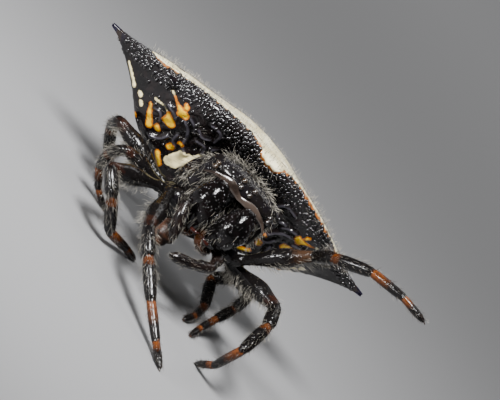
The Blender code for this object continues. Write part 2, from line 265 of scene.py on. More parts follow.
@dataclass
class Surface:
    """One mesh gathered from closed grids, with a value of each named field at every point."""

    name: str
    field_names: tuple[str, ...] = ()
    points: list[Array] = field(default_factory=list)
    faces: list[Array] = field(default_factory=list)
    values: dict[str, list[Array]] = field(default_factory=dict)
    uvs: list[Array] = field(default_factory=list)
    count: int = 0

    def add(self, points: Array, faces: Array, values: dict[str, Array], uv: Array) -> None:
        """Adds loose triangles, turned so that they face outwards.

        Args:
            points: Points in millimetres, one row each.
            faces: Triangles as rows of three indices.
            values: Fields at the points.
            uv: Place of each point on the unwrap.
        """
        corners = points[faces]
        volume = np.einsum("ij,ij->i", corners[:, 0], np.cross(corners[:, 1], corners[:, 2])).sum()
        self.faces.append((faces if volume > 0 else faces[:, ::-1]) + self.count)
        self.points.append(points)
        for name in self.field_names:
            given = np.broadcast_to(values.get(name, 0.0), len(points))
            self.values.setdefault(name, []).append(given.astype(float))
        self.uvs.append(uv)
        self.count += len(points)

    def add_grid(self, grid: Array, values: dict[str, Array] | None = None) -> None:
        """Adds a grid closed round its columns, its first and last rows closed by a pole.

        Args:
            grid: Points by row and column.
            values: Fields as numbers or as arrays of rows by columns.
        """
        rows, cols, _ = grid.shape
        points = np.concatenate([grid.reshape(-1, 3), grid[[0, -1]].mean(1)])
        here = np.arange(rows * cols).reshape(rows, cols)
        first, last = here[0], here[-1]
        parts = [
            strip_faces(here),
            np.stack([np.roll(first, -1), first, np.full(cols, rows * cols)], -1),
            np.stack([last, np.roll(last, -1), np.full(cols, rows * cols + 1)], -1),
        ]
        spread = {}
        for name, given in (values or {}).items():
            if np.ndim(given) == 2:
                given = np.concatenate([given.ravel(), given[[0, -1]].mean(1)])
            spread[name] = given
        v, u = np.meshgrid(np.linspace(0, 1, cols), np.linspace(0, 1, rows))
        uv = np.concatenate([np.stack([u, v], -1).reshape(-1, 2), [[0, 0.5], [1, 0.5]]])
        self.add(points, np.concatenate(parts), spread, uv)

    def build(self, dressed: bpy.types.Material, slot: Slot, nodes: tuple[str, ...] = ()) -> None:
        """Makes the object in metres, smooth shaded, riding on the body.

        Args:
            dressed: Its material.
            slot: The record's material slot. Not used.
            nodes: The CAD nodes that it stands for.
        """
        mesh = bpy.data.meshes.new(self.name)
        points, faces = np.concatenate(self.points) * MM, np.concatenate(self.faces)
        mesh.from_pydata(points.tolist(), [], faces.tolist())
        for name in self.field_names:
            held = mesh.attributes.new(name, "FLOAT", "POINT")
            held.data.foreach_set("value", np.concatenate(self.values[name]).astype(np.float32))
        layer = mesh.uv_layers.new(name="OFBake")
        patches = np.concatenate(self.uvs)[faces.ravel()]
        layer.data.foreach_set("uv", patches.astype(np.float32).ravel())
        mesh.polygons.foreach_set("use_smooth", np.ones(len(faces), bool))
        mesh.update()
        mesh.materials.append(dressed)
        made = bpy.data.objects.new(self.name, mesh)
        bpy.context.scene.collection.objects.link(made)
        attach(made, "root")
        if nodes:
            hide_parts(*nodes)
        LOG.info("%s: %d triangles", self.name, len(faces))


def tube_grid(
    path: Array, radius: Array, sides: int = 20, flat: float = 1.0, ends: int = CAP_RINGS
) -> Array:
    """Rings carried along a path: centre + r (cos a side + flat sin a over), with round ends.

    Args:
        path: Centre line.
        radius: Radius at each of its points.
        sides: Points round each ring.
        flat: Height of a ring as a share of its width.
        ends: Rings that round off each end.

    Returns:
        Grid of points by ring and side.
    """
    tangent = unit(np.gradient(path, axis=0))
    turn = np.linspace(90, 0, ends + 1)[:-1] * math.pi / 180
    start = path[0] - tangent[0] * (radius[0] * np.sin(turn))[:, None]
    stop = path[-1] + tangent[-1] * (radius[-1] * np.sin(turn[::-1]))[:, None]
    path = np.concatenate([start, path, stop])
    cap = np.maximum(np.cos(turn), 0.04)
    radius = np.concatenate([radius[0] * cap, radius, radius[-1] * cap[::-1]])
    tangent = np.concatenate(
        [np.repeat(tangent[:1], ends, 0), tangent, np.repeat(tangent[-1:], ends, 0)]
    )
    side = np.cross(tangent[0], (0, 0, 1.0))
    if np.linalg.norm(side) < 0.1:
        side = np.array([1.0, 0, 0])
    sides_along = np.empty_like(tangent)
    for i, t in enumerate(tangent):
        side = unit(side - t * (side @ t))
        sides_along[i] = side
    over = np.cross(sides_along, tangent)
    angle = np.arange(sides) * 2 * math.pi / sides
    ring = (
        np.cos(angle)[None, :, None] * sides_along[:, None, :]
        + flat * np.sin(angle)[None, :, None] * over[:, None, :]
    )
    return path[:, None, :] + radius[:, None, None] * ring


@dataclass(frozen=True)
class Roots:
    """Places on a skin where hairs or granules stand."""

    points: Array
    normals: Array
    along: Array
    uv: Array

    def kept(self, which: Array) -> "Roots":
        """Only the places that the mask picks."""
        return Roots(self.points[which], self.normals[which], self.along[which], self.uv[which])

    def tiled(self, index: int, count: int) -> "Roots":
        """The same places on their own strip of an unwrap that several skins share."""
        uv = np.column_stack([(index + self.uv[:, 0] * STRIP) / count, self.uv[:, 1]])
        return Roots(self.points, self.normals, self.along, uv)

    def carried(self, to_world: Callable[[Array], Array], axes: Array) -> "Roots":
        """The same places in the world, their directions turned by the axes."""
        return Roots(to_world(self.points), self.normals @ axes, self.along @ axes, self.uv)


def scatter(grid: Array, count: int, density: Array | float, seed: int) -> Roots:
    """Places drawn over a grid in proportion to area times density.

    Args:
        grid: Points by row and column, closed round its columns.
        count: How many places.
        density: Weight by row and column, or one number.
        seed: Seed of the draw.

    Returns:
        The places with their normals, the way of rising rows, and their place on the unwrap.
    """
    draw = np.random.default_rng(seed)
    rows, cols, _ = grid.shape
    normal = normals_of(grid)
    nxt = np.roll(grid, -1, 1)
    area = np.linalg.norm(np.cross(grid[1:] - grid[:-1], (nxt - grid)[:-1]), axis=-1)
    weight = (area * np.broadcast_to(density, (rows, cols))[:-1]).ravel()
    cell = draw.choice(len(weight), count, p=weight / weight.sum())
    i, j = np.divmod(cell, cols)
    s, t = draw.random(count)[:, None], draw.random(count)[:, None]
    k = (j + 1) % cols

    def blend(values: Array) -> Array:
        """Value inside a cell: its four corners weighted by how near they are.

        Args:
            values: Values by row and column.

        Returns:
            One value for each place.
        """
        return (
            (1 - s) * (1 - t) * values[i, j]
            + s * (1 - t) * values[i + 1, j]
            + (1 - s) * t * values[i, k]
            + s * t * values[i + 1, k]
        )

    along = unit(blend(np.gradient(grid, axis=0)))
    uv = np.column_stack([(i + s[:, 0]) / (rows - 1), (j + t[:, 0]) / cols])
    return Roots(blend(grid), unit(blend(normal)), along, uv)


@dataclass(frozen=True)
class Hair:
    """A coat of tapered, bent hairs as solid mesh."""

    length: float
    thick: float
    lift: float = 0.6
    bend: float = 0.5
    spread: float = 0.25
    vary: float = 0.35
    rings: int = 4
    seed: int = 1
    floor: float = 0.004
    sunk: float = 0.02
    curl: float = 0.12

    def add_to(self, coat: Surface, roots: Roots, lie: Array, scale: Array | float = 1.0) -> None:
        """Grows one hair at each root.

        Each centre line is root + L (s out + s^2 bend lie), where out mixes the normal and the lie,
        and the radius falls as (1 - s)^0.8 from the root to the tip.

        Args:
            coat: The mesh that takes the hairs.
            roots: Where they grow.
            lie: The way that they lie, one row each.
            scale: Length of each hair as a share of the usual length.
        """
        draw = np.random.default_rng(self.seed)
        n = len(roots.points)
        lie = unit(lie - roots.normals * (lie * roots.normals).sum(1, keepdims=True))
        lie = unit(lie + draw.normal(0, self.spread, (n, 3)))
        out = unit(roots.normals * self.lift + lie * (1 - self.lift))
        length = self.length * (1 + self.vary * draw.uniform(-1, 1, n)) * scale
        s = np.linspace(0, 1, self.rings + 1)
        curl = draw.normal(0, self.curl, (n, 3))
        foot = roots.points - roots.normals * self.sunk
        line = foot[:, None] + length[:, None, None] * (
            s[None, :, None] * out[:, None]
            + (s**2)[None, :, None] * (self.bend * (lie - roots.normals * 0.5) + curl)[:, None]
        )
        tangent = unit(np.gradient(line, axis=1))
        side = unit(np.cross(tangent, unit(draw.normal(0, 1, (n, 1, 3)))))
        over = np.cross(side, tangent)
        angle = np.arange(3) * 2 * math.pi / 3
        radius = self.thick / 2 * np.maximum(1 - s, 0) ** 0.8
        ring = line[:, :-1, None] + radius[None, :-1, None, None] * (
            np.cos(angle)[None, None, :, None] * side[:, :-1, None]
            + np.sin(angle)[None, None, :, None] * over[:, :-1, None]
        )
        each = self.rings * 3 + 1
        points = np.concatenate([ring.reshape(n, -1, 3), line[:, -1:]], 1).reshape(-1, 3)
        points[:, 2] = np.maximum(points[:, 2], self.floor)
        here = np.arange(self.rings * 3).reshape(self.rings, 3)
        tip = np.full(3, self.rings * 3)
        one = np.concatenate(
            [
                strip_faces(here)[:, [0, 2, 1]],
                np.stack([here[-1], tip, np.roll(here[-1], -1)], -1),
                [[0, 1, 2]],
            ]
        )
        faces = (one[None] + (np.arange(n) * each)[:, None, None]).reshape(-1, 3)
        heights = np.concatenate([np.repeat(s[:-1], 3), [1.0]])
        corners = np.concatenate([np.tile([0, 0.5, 1], self.rings), [0.5]])
        patch = np.tile(np.column_stack([heights, corners]), (n, 1))
        uv = np.repeat(roots.uv, each, 0) * SPARE + patch * PATCH
        shade = np.repeat(draw.random(n), each)
        coat.add(points, faces, {"shade": shade, "along": np.tile(heights, n)}, uv)


# Materials


class Nodes:
    """Short ways to add and join the nodes of one material or group."""

    def __init__(self, tree: bpy.types.NodeTree) -> None:
        """Takes the tree that the nodes go into."""
        self.tree = tree

    def add(self, kind: str, settings: dict | None = None, **inputs: object) -> bpy.types.Node:
        """Adds a node.

        Args:
            kind: Blender's type name.
            settings: Properties of the node.
            inputs: Values or sockets by input name, with _ for a space.

        Returns:
            The new node.
        """
        made = self.tree.nodes.new(kind)
        for name, value in (settings or {}).items():
            setattr(made, name, value)
        for name, value in inputs.items():
            self.feed(made.inputs[name.replace("_", " ")], value)
        return made

    def feed(self, socket: bpy.types.NodeSocket, value: object) -> None:
        """Joins a socket to another or sets its value.

        Args:
            socket: The input.
            value: A socket, a number or a colour of three numbers.
        """
        if isinstance(value, bpy.types.NodeSocket):
            self.tree.links.new(value, socket)
        else:
            socket.default_value = (*value, 1.0) if isinstance(value, tuple) else value

    def field(self, name: str) -> bpy.types.NodeSocket:
        """A named value of the mesh."""
        return self.add("ShaderNodeAttribute", {"attribute_name": name}).outputs["Fac"]

    def math(self, operation: str, a: object, b: object = 0.0) -> bpy.types.NodeSocket:
        """One sum of two numbers.

        Args:
            operation: Blender's name of the sum.
            a: First number or socket.
            b: Second number or socket.

        Returns:
            The result.
        """
        made = self.add("ShaderNodeMath", {"operation": operation})
        self.feed(made.inputs[0], a)
        self.feed(made.inputs[1], b)
        return made.outputs[0]

    def step(self, value: object, low: float, high: float) -> bpy.types.NodeSocket:
        """Rises smoothly from 0 at low to 1 at high.

        Args:
            value: What is read.
            low: Where the rise starts.
            high: Where it ends.

        Returns:
            The risen value.
        """
        made = self.add("ShaderNodeMapRange", {"interpolation_type": "SMOOTHSTEP"})
        for name, given in (("Value", value), ("From Min", low), ("From Max", high)):
            self.feed(made.inputs[name], given)
        return made.outputs["Result"]

    def mix(
        self, share: object, a: object, b: object, blend: str = "MIX"
    ) -> bpy.types.NodeSocket:
        """Colour a where share is 0, and b, or a blended with b, where it is 1.

        Args:
            share: Share of the second colour.
            a: First colour.
            b: Second colour.
            blend: Blender's name of the blend.

        Returns:
            The mixed colour.
        """
        made = self.add("ShaderNodeMix", {"data_type": "RGBA", "blend_type": blend})
        self.feed(made.inputs[0], share)
        self.feed(made.inputs[6], a)
        self.feed(made.inputs[7], b)
        return made.outputs[2]

    def place(self) -> bpy.types.NodeSocket:
        """Object coordinates in millimetres.

        Returns:
            The coordinates.
        """
        given = self.add("ShaderNodeTexCoord").outputs["Object"]
        return self.add(
            "ShaderNodeVectorMath", {"operation": "SCALE"}, Vector=given, Scale=1 / MM
        ).outputs[0]

    def noise(self, scale: float) -> bpy.types.NodeSocket:
        """Cloudy noise, with scale in waves per millimetre."""
        made = self.add("ShaderNodeTexNoise", Vector=self.place(), Scale=scale, Detail=3.0)
        return made.outputs["Fac"]


def group(name: str, inputs: dict[str, float], output: str) -> tuple[bpy.types.NodeTree, Nodes]:
    """An empty node group of plain numbers.

    Args:
        name: Its name.
        inputs: Its inputs and their usual values.
        output: Its output.

    Returns:
        The group, and the means to fill it.
    """
    tree = bpy.data.node_groups.new(name, "ShaderNodeTree")
    number = "NodeSocketFloat"
    for key, value in inputs.items():
        made = tree.interface.new_socket(name=key, in_out="INPUT", socket_type=number)
        made.default_value = value
    tree.interface.new_socket(name=output, in_out="OUTPUT", socket_type=number)
    return tree, Nodes(tree)


def pitted_shell() -> bpy.types.NodeTree:
    """Height of a fine pitted shell: small round pits of set scale over gentle waves.

    Returns:
        The node group.
    """
    tree, n = group("pitted_shell", {"Scale": 12.0, "Waves": 3.0, "Pits": 1.0}, "Height")
    given = n.add("NodeGroupInput")
    cells = n.add("ShaderNodeTexVoronoi", Vector=n.place(), Scale=given.outputs["Scale"])
    pit = n.step(cells.outputs["Distance"], 0.05, 0.45)
    waves = n.add("ShaderNodeTexNoise", Vector=n.place(), Scale=given.outputs["Waves"])
    total = n.math("ADD", n.math("MULTIPLY", pit, given.outputs["Pits"]), waves.outputs["Fac"])
    n.add("NodeGroupOutput", Height=total)
    return tree


def mottled_tint() -> bpy.types.NodeTree:
    """Uneven share between two tints: noise of set scale pulled towards its ends.

    Returns:
        The node group.
    """
    tree, n = group("mottled_tint", {"Scale": 2.0, "Low": 0.4, "High": 0.6}, "Share")
    given = n.add("NodeGroupInput")
    cloud = n.add("ShaderNodeTexNoise", Vector=n.place(), Scale=given.outputs["Scale"])
    ramp = n.add("ShaderNodeMapRange", {"interpolation_type": "SMOOTHSTEP"})
    n.feed(ramp.inputs["Value"], cloud.outputs["Fac"])
    n.feed(ramp.inputs["From Min"], given.outputs["Low"])
    n.feed(ramp.inputs["From Max"], given.outputs["High"])
    n.add("NodeGroupOutput", Share=ramp.outputs["Result"])
    return tree


class Effects:
    """The node groups that the materials share, each built once."""

    def __init__(self) -> None:
        """Builds the groups."""
        self.pits = pitted_shell()
        self.mottle = mottled_tint()

    def height(
        self, n: Nodes, scale: float, waves: float, pits: float = 1.0
    ) -> bpy.types.NodeSocket:
        """Height of the pitted shell."""
        chosen = {"node_tree": self.pits}
        return n.add("ShaderNodeGroup", chosen, Scale=scale, Waves=waves, Pits=pits).outputs[0]

    def share(self, n: Nodes, scale: float, low: float, high: float) -> bpy.types.NodeSocket:
        """Share of the mottled tint."""
        chosen = {"node_tree": self.mottle}
        return n.add("ShaderNodeGroup", chosen, Scale=scale, Low=low, High=high).outputs[0]


@dataclass(frozen=True)
class Finish:
    """A plain finish: two mottled tints, a gloss and a fine relief."""

    name: str
    tint: Colour
    second: Colour
    roughness: float = 0.3
    grain: float = 10.0
    relief: float = 0.1
    coat: float = 0.0
    coat_roughness: float = 0.06
    specular: float = 0.5

    def begin(self) -> tuple[bpy.types.Material, Nodes, bpy.types.Node]:
        """A new material with its shader's constants set.

        Returns:
            The material, the means to add its nodes, and its shader.
        """
        made = bpy.data.materials.new(self.name)
        made.use_nodes = True
        n = Nodes(made.node_tree)
        shader = made.node_tree.nodes["Principled BSDF"]
        shader.inputs["Roughness"].default_value = self.roughness
        shader.inputs["Coat Weight"].default_value = self.coat
        shader.inputs["Coat Roughness"].default_value = self.coat_roughness
        shader.inputs["Specular IOR Level"].default_value = self.specular
        return made, n, shader

    def relief_on(self, n: Nodes, shader: bpy.types.Node, height: bpy.types.NodeSocket) -> None:
        """Feeds a height to the shader's normal, as deep as the finish's relief."""
        made = n.add("ShaderNodeBump", Height=height, Distance=self.relief * MM, Strength=1.0)
        n.feed(shader.inputs["Normal"], made.outputs["Normal"])

    def build(self, effects: Effects) -> bpy.types.Material:
        """The finished material.

        Args:
            effects: The node groups that the materials share.

        Returns:
            The material.
        """
        made, n, shader = self.begin()
        share = effects.share(n, self.grain / 4, 0.38, 0.62)
        n.feed(shader.inputs["Base Color"], n.mix(share, self.tint, self.second))
        self.relief_on(n, shader, effects.height(n, self.grain, self.grain / 3))
        return made


@dataclass(frozen=True)
class HairFinish(Finish):
    """Hair that runs from a root tint to a tip tint, each hair a little lighter or darker."""

    darkest: float = 0.5

    def build(self, effects: Effects) -> bpy.types.Material:
        """The finished material.

        Args:
            effects: The node groups that the materials share. Not used.

        Returns:
            The material.
        """
        made, n, shader = self.begin()
        tint = n.mix(n.step(n.field("along"), 0.0, 0.9), self.tint, self.second)
        dark = n.mix(n.step(n.field("shade"), 0.0, 1.0), (self.darkest,) * 3, (1.0, 1.0, 1.0))
        n.feed(shader.inputs["Base Color"], n.mix(1.0, tint, dark, "MULTIPLY"))
        return made


@dataclass(frozen=True)
class LegFinish(Finish):
    """Black leg shell with orange rings, read along the joints, and a brown thigh end."""

    orange: Colour = (0.13, 0.036, 0.007)
    brown: Colour = (0.02, 0.007, 0.004)
    amber: Colour = (0.034, 0.017, 0.009)
    ramp_end: float = 5.2

    def build(self, effects: Effects) -> bpy.types.Material:
        """The finished material.

        Args:
            effects: The node groups that the materials share.

        Returns:
            The material.
        """
        made, n, shader = self.begin()
        wobble = n.math("MULTIPLY", n.math("SUBTRACT", n.noise(6.0), 0.5), 0.3)
        along = n.math("ADD", n.field("joint"), wobble)
        ramp = n.add("ShaderNodeValToRGB", Fac=n.math("DIVIDE", along, self.ramp_end))
        ramp.color_ramp.interpolation = "LINEAR"
        black, orange, brown = (*self.tint, 1), (*self.orange, 1), (*self.brown, 1)
        rust = tuple(0.5 * c for c in self.orange) + (1,)
        stops = (
            (0.0, black), (0.12, black), (0.82, black), (0.93, brown), (1.03, black),
            (2.0, black), (2.06, rust), (2.14, rust), (2.24, black),
            (3.0, black), (3.06, orange), (3.34, rust), (3.62, black),
            (4.0, black), (4.07, orange), (4.26, rust), (4.46, black),
            (self.ramp_end, black),
        )
        elements = ramp.color_ramp.elements
        while len(elements) < len(stops):
            elements.new(0.5)
        for element, (place, colour) in zip(elements, stops):
            element.position = place / self.ramp_end
            element.color = colour
        end = n.math("MULTIPLY", n.step(along, 0.66, 0.86), n.step(along, 1.02, 0.94))
        lit = n.math("MULTIPLY", end, n.field("amber"))
        banded = n.mix(lit, ramp.outputs["Color"], self.amber)
        share = n.math("MULTIPLY", effects.share(n, 9.0, 0.4, 0.75), 0.6)
        n.feed(shader.inputs["Base Color"], n.mix(share, banded, self.second))
        self.relief_on(n, shader, effects.height(n, self.grain, 4.0, 0.8))
        return made


@dataclass(frozen=True)
class AbdomenFinish(Finish):
    """Waxy cream back, black granular walls, yellow marks, painted fold highlights and spine sheen,
    each read from the mesh.
    """

    cream: Colour = (0.78, 0.72, 0.5)
    wax: Colour = (0.6, 0.52, 0.3)
    yellow: Colour = (0.72, 0.42, 0.0)
    pale: Colour = (0.86, 0.74, 0.4)
    line: Colour = (0.3, 0.1, 0.02)
    rind: Colour = (0.4, 0.12, 0.004)
    band: Colour = (0.02, 0.014, 0.012)
    scar: Colour = (0.07, 0.025, 0.012)
    # Dark violet tint towards the spine tips: a painted sheen
    violet_sheen: Colour = (0.012, 0.01, 0.022)
    # Slate tint along the fold ridges: a painted highlight
    fold_highlight: Colour = (0.034, 0.031, 0.038)

    def build(self, effects: Effects) -> bpy.types.Material:
        """The finished material.

        Args:
            effects: The node groups that the materials share.

        Returns:
            The material.
        """
        made, n, shader = self.begin()
        black = n.mix(effects.share(n, 2.5, 0.4, 0.65), self.tint, self.second)
        # Painted violet sheen towards the spine tips and on the short spines
        black = n.mix(n.step(n.field("spine"), 0.55, 0.95), black, self.violet_sheen)
        # Painted highlight: the fold ridges are tinted slate
        black = n.mix(n.step(n.field("fold"), 0.35, 0.9), black, self.fold_highlight)
        waxy = n.mix(effects.share(n, 1.6, 0.35, 0.7), self.cream, self.wax)
        ragged = n.math("MULTIPLY", n.math("SUBTRACT", n.noise(7.0), 0.5), 0.1)
        edge = n.math("ADD", n.field("cream"), ragged)
        frayed = n.math("MULTIPLY", n.math("SUBTRACT", n.noise(9.0), 0.5), 0.1)
        gold = n.math("ADD", n.field("gold"), frayed)
        milk = n.math("ADD", n.field("milk"), frayed)
        colour = black
        for inside, low, high, laid in (
            (edge, -0.1, -0.04, self.line), (edge, 0.01, 0.07, waxy),
            (n.field("dark"), -0.03, 0.03, self.band), (n.field("pit"), -0.02, 0.03, self.scar),
            (milk, -0.03, 0.03, self.pale),
            (gold, -0.05, -0.01, self.rind), (gold, 0.0, 0.05, self.yellow),
        ):
            colour = n.mix(n.step(inside, low, high), colour, laid)
        n.feed(shader.inputs["Base Color"], colour)
        waxy_gloss = n.math("MULTIPLY", n.step(edge, 0.0, 0.05), 0.22)
        softer = n.math("ADD", waxy_gloss, n.math("MULTIPLY", n.field("fold"), 0.06))
        n.feed(shader.inputs["Roughness"], n.math("ADD", softer, self.roughness))
        self.relief_on(n, shader, effects.height(n, self.grain, 3.0, 0.8))
        return made


# The abdomen


class Tint(Enum):
    """Which colour a mark has."""

    GOLD = "gold"
    MILK = "milk"


@dataclass(frozen=True)
class Mark:
    """A pale or yellow mark: a rounded stroke on the front wall, on the right side or on both."""

    start: Point
    end: Point
    r_start: float
    r_end: float
    tint: Tint
    both: bool = True


MARKS = (
    Mark((6.27, 4.75, 0.3), (5.41, 4.72, -0.19), 0.06, 0.1, Tint.MILK, both=False),
    Mark((5.08, 4.53, -0.23), (5.02, 4.5, -0.27), 0.12, 0.12, Tint.MILK),
    Mark((4.8, 4.48, -0.43), (4.7, 4.5, -0.5), 0.11, 0.1, Tint.MILK),
    Mark((4.51, 4.79, -0.93), (4.45, 4.8, -0.99), 0.1, 0.08, Tint.GOLD),
    Mark((4.55, 4.12, -0.22), (3.95, 4.25, -0.8), 0.1, 0.17, Tint.GOLD),
    Mark((3.7, 4.02, -0.64), (3.62, 4.03, -0.68), 0.14, 0.15, Tint.GOLD),
    Mark((4.63, 3.92, 0.07), (4.24, 3.59, 0.17), 0.08, 0.05, Tint.MILK),
    Mark((4.24, 3.59, 0.17), (3.95, 3.5, 0.07), 0.05, 0.06, Tint.MILK),
    Mark((3.95, 3.5, 0.07), (3.66, 3.57, -0.13), 0.07, 0.24, Tint.GOLD),
    Mark((3.74, 3.6, -0.2), (3.5, 3.6, -0.12), 0.2, 0.2, Tint.GOLD),
    Mark((4.7, 3.42, 0.83), (4.31, 3.3, 0.73), 0.08, 0.05, Tint.MILK),
    Mark((4.31, 3.3, 0.73), (3.98, 3.18, 0.56), 0.05, 0.07, Tint.GOLD),
    Mark((3.98, 3.18, 0.56), (3.62, 3.12, 0.47), 0.08, 0.22, Tint.GOLD),
    Mark((3.68, 3.12, 0.4), (3.5, 3.08, 0.5), 0.18, 0.18, Tint.GOLD),
    Mark((3.8, 3.0, 0.82), (3.72, 2.97, 0.74), 0.1, 0.12, Tint.GOLD),
    Mark((2.78, 3.95, -0.83), (2.72, 3.87, -0.74), 0.14, 0.16, Tint.GOLD),
    Mark((2.66, 3.64, -0.43), (2.6, 3.58, -0.36), 0.1, 0.11, Tint.GOLD),
    Mark((2.82, 4.33, -1.32), (2.42, 4.42, -1.58), 0.13, 0.13, Tint.GOLD),
    Mark((2.28, 4.12, -1.2), (2.26, 3.7, -0.6), 0.27, 0.16, Tint.MILK),
    Mark((2.1, 4.08, -1.12), (1.7, 3.62, -0.2), 0.24, 0.16, Tint.MILK),
    Mark((2.24, 4.0, -1.0), (1.98, 3.78, -0.6), 0.28, 0.26, Tint.MILK),
)

# Winding raised folds of the front wall, as corner points on one side
FOLDS = (
    (
        (3.31, 3.1, 0.35), (3.02, 3.15, 0.25), (2.78, 3.3, 0.06),
        (2.61, 3.52, -0.29), (2.44, 3.63, -0.47), (2.16, 3.69, -0.52),
    ),
    ((3.26, 2.95, 0.57), (2.93, 2.97, 0.52), (2.72, 3.12, 0.31)),
    ((2.69, 3.0, 0.5), (2.36, 3.12, 0.36), (2.09, 3.07, 0.59)),
    ((1.71, 3.34, 0.32), (1.37, 3.26, 0.6), (1.04, 3.09, 0.87)),
    ((2.55, 2.67, 1.01), (1.97, 2.67, 1.1), (1.86, 3.1, 0.63)),
    ((3.01, 3.51, -0.24), (2.96, 3.74, -0.52), (2.68, 3.78, -0.64)),
    ((2.35, 3.26, 0.14), (1.95, 3.29, 0.28), (1.78, 3.49, 0.0)),
    ((3.55, 4.35, -1.06), (3.24, 4.1, -0.92), (3.17, 3.8, -0.56)),
    ((4.5, 4.0, -0.35), (4.2, 3.75, -0.1), (4.0, 3.7, -0.2), (3.85, 3.85, -0.4)),
    ((4.2, 3.4, 0.3), (3.9, 3.3, 0.25), (3.6, 3.35, 0.15)),
)


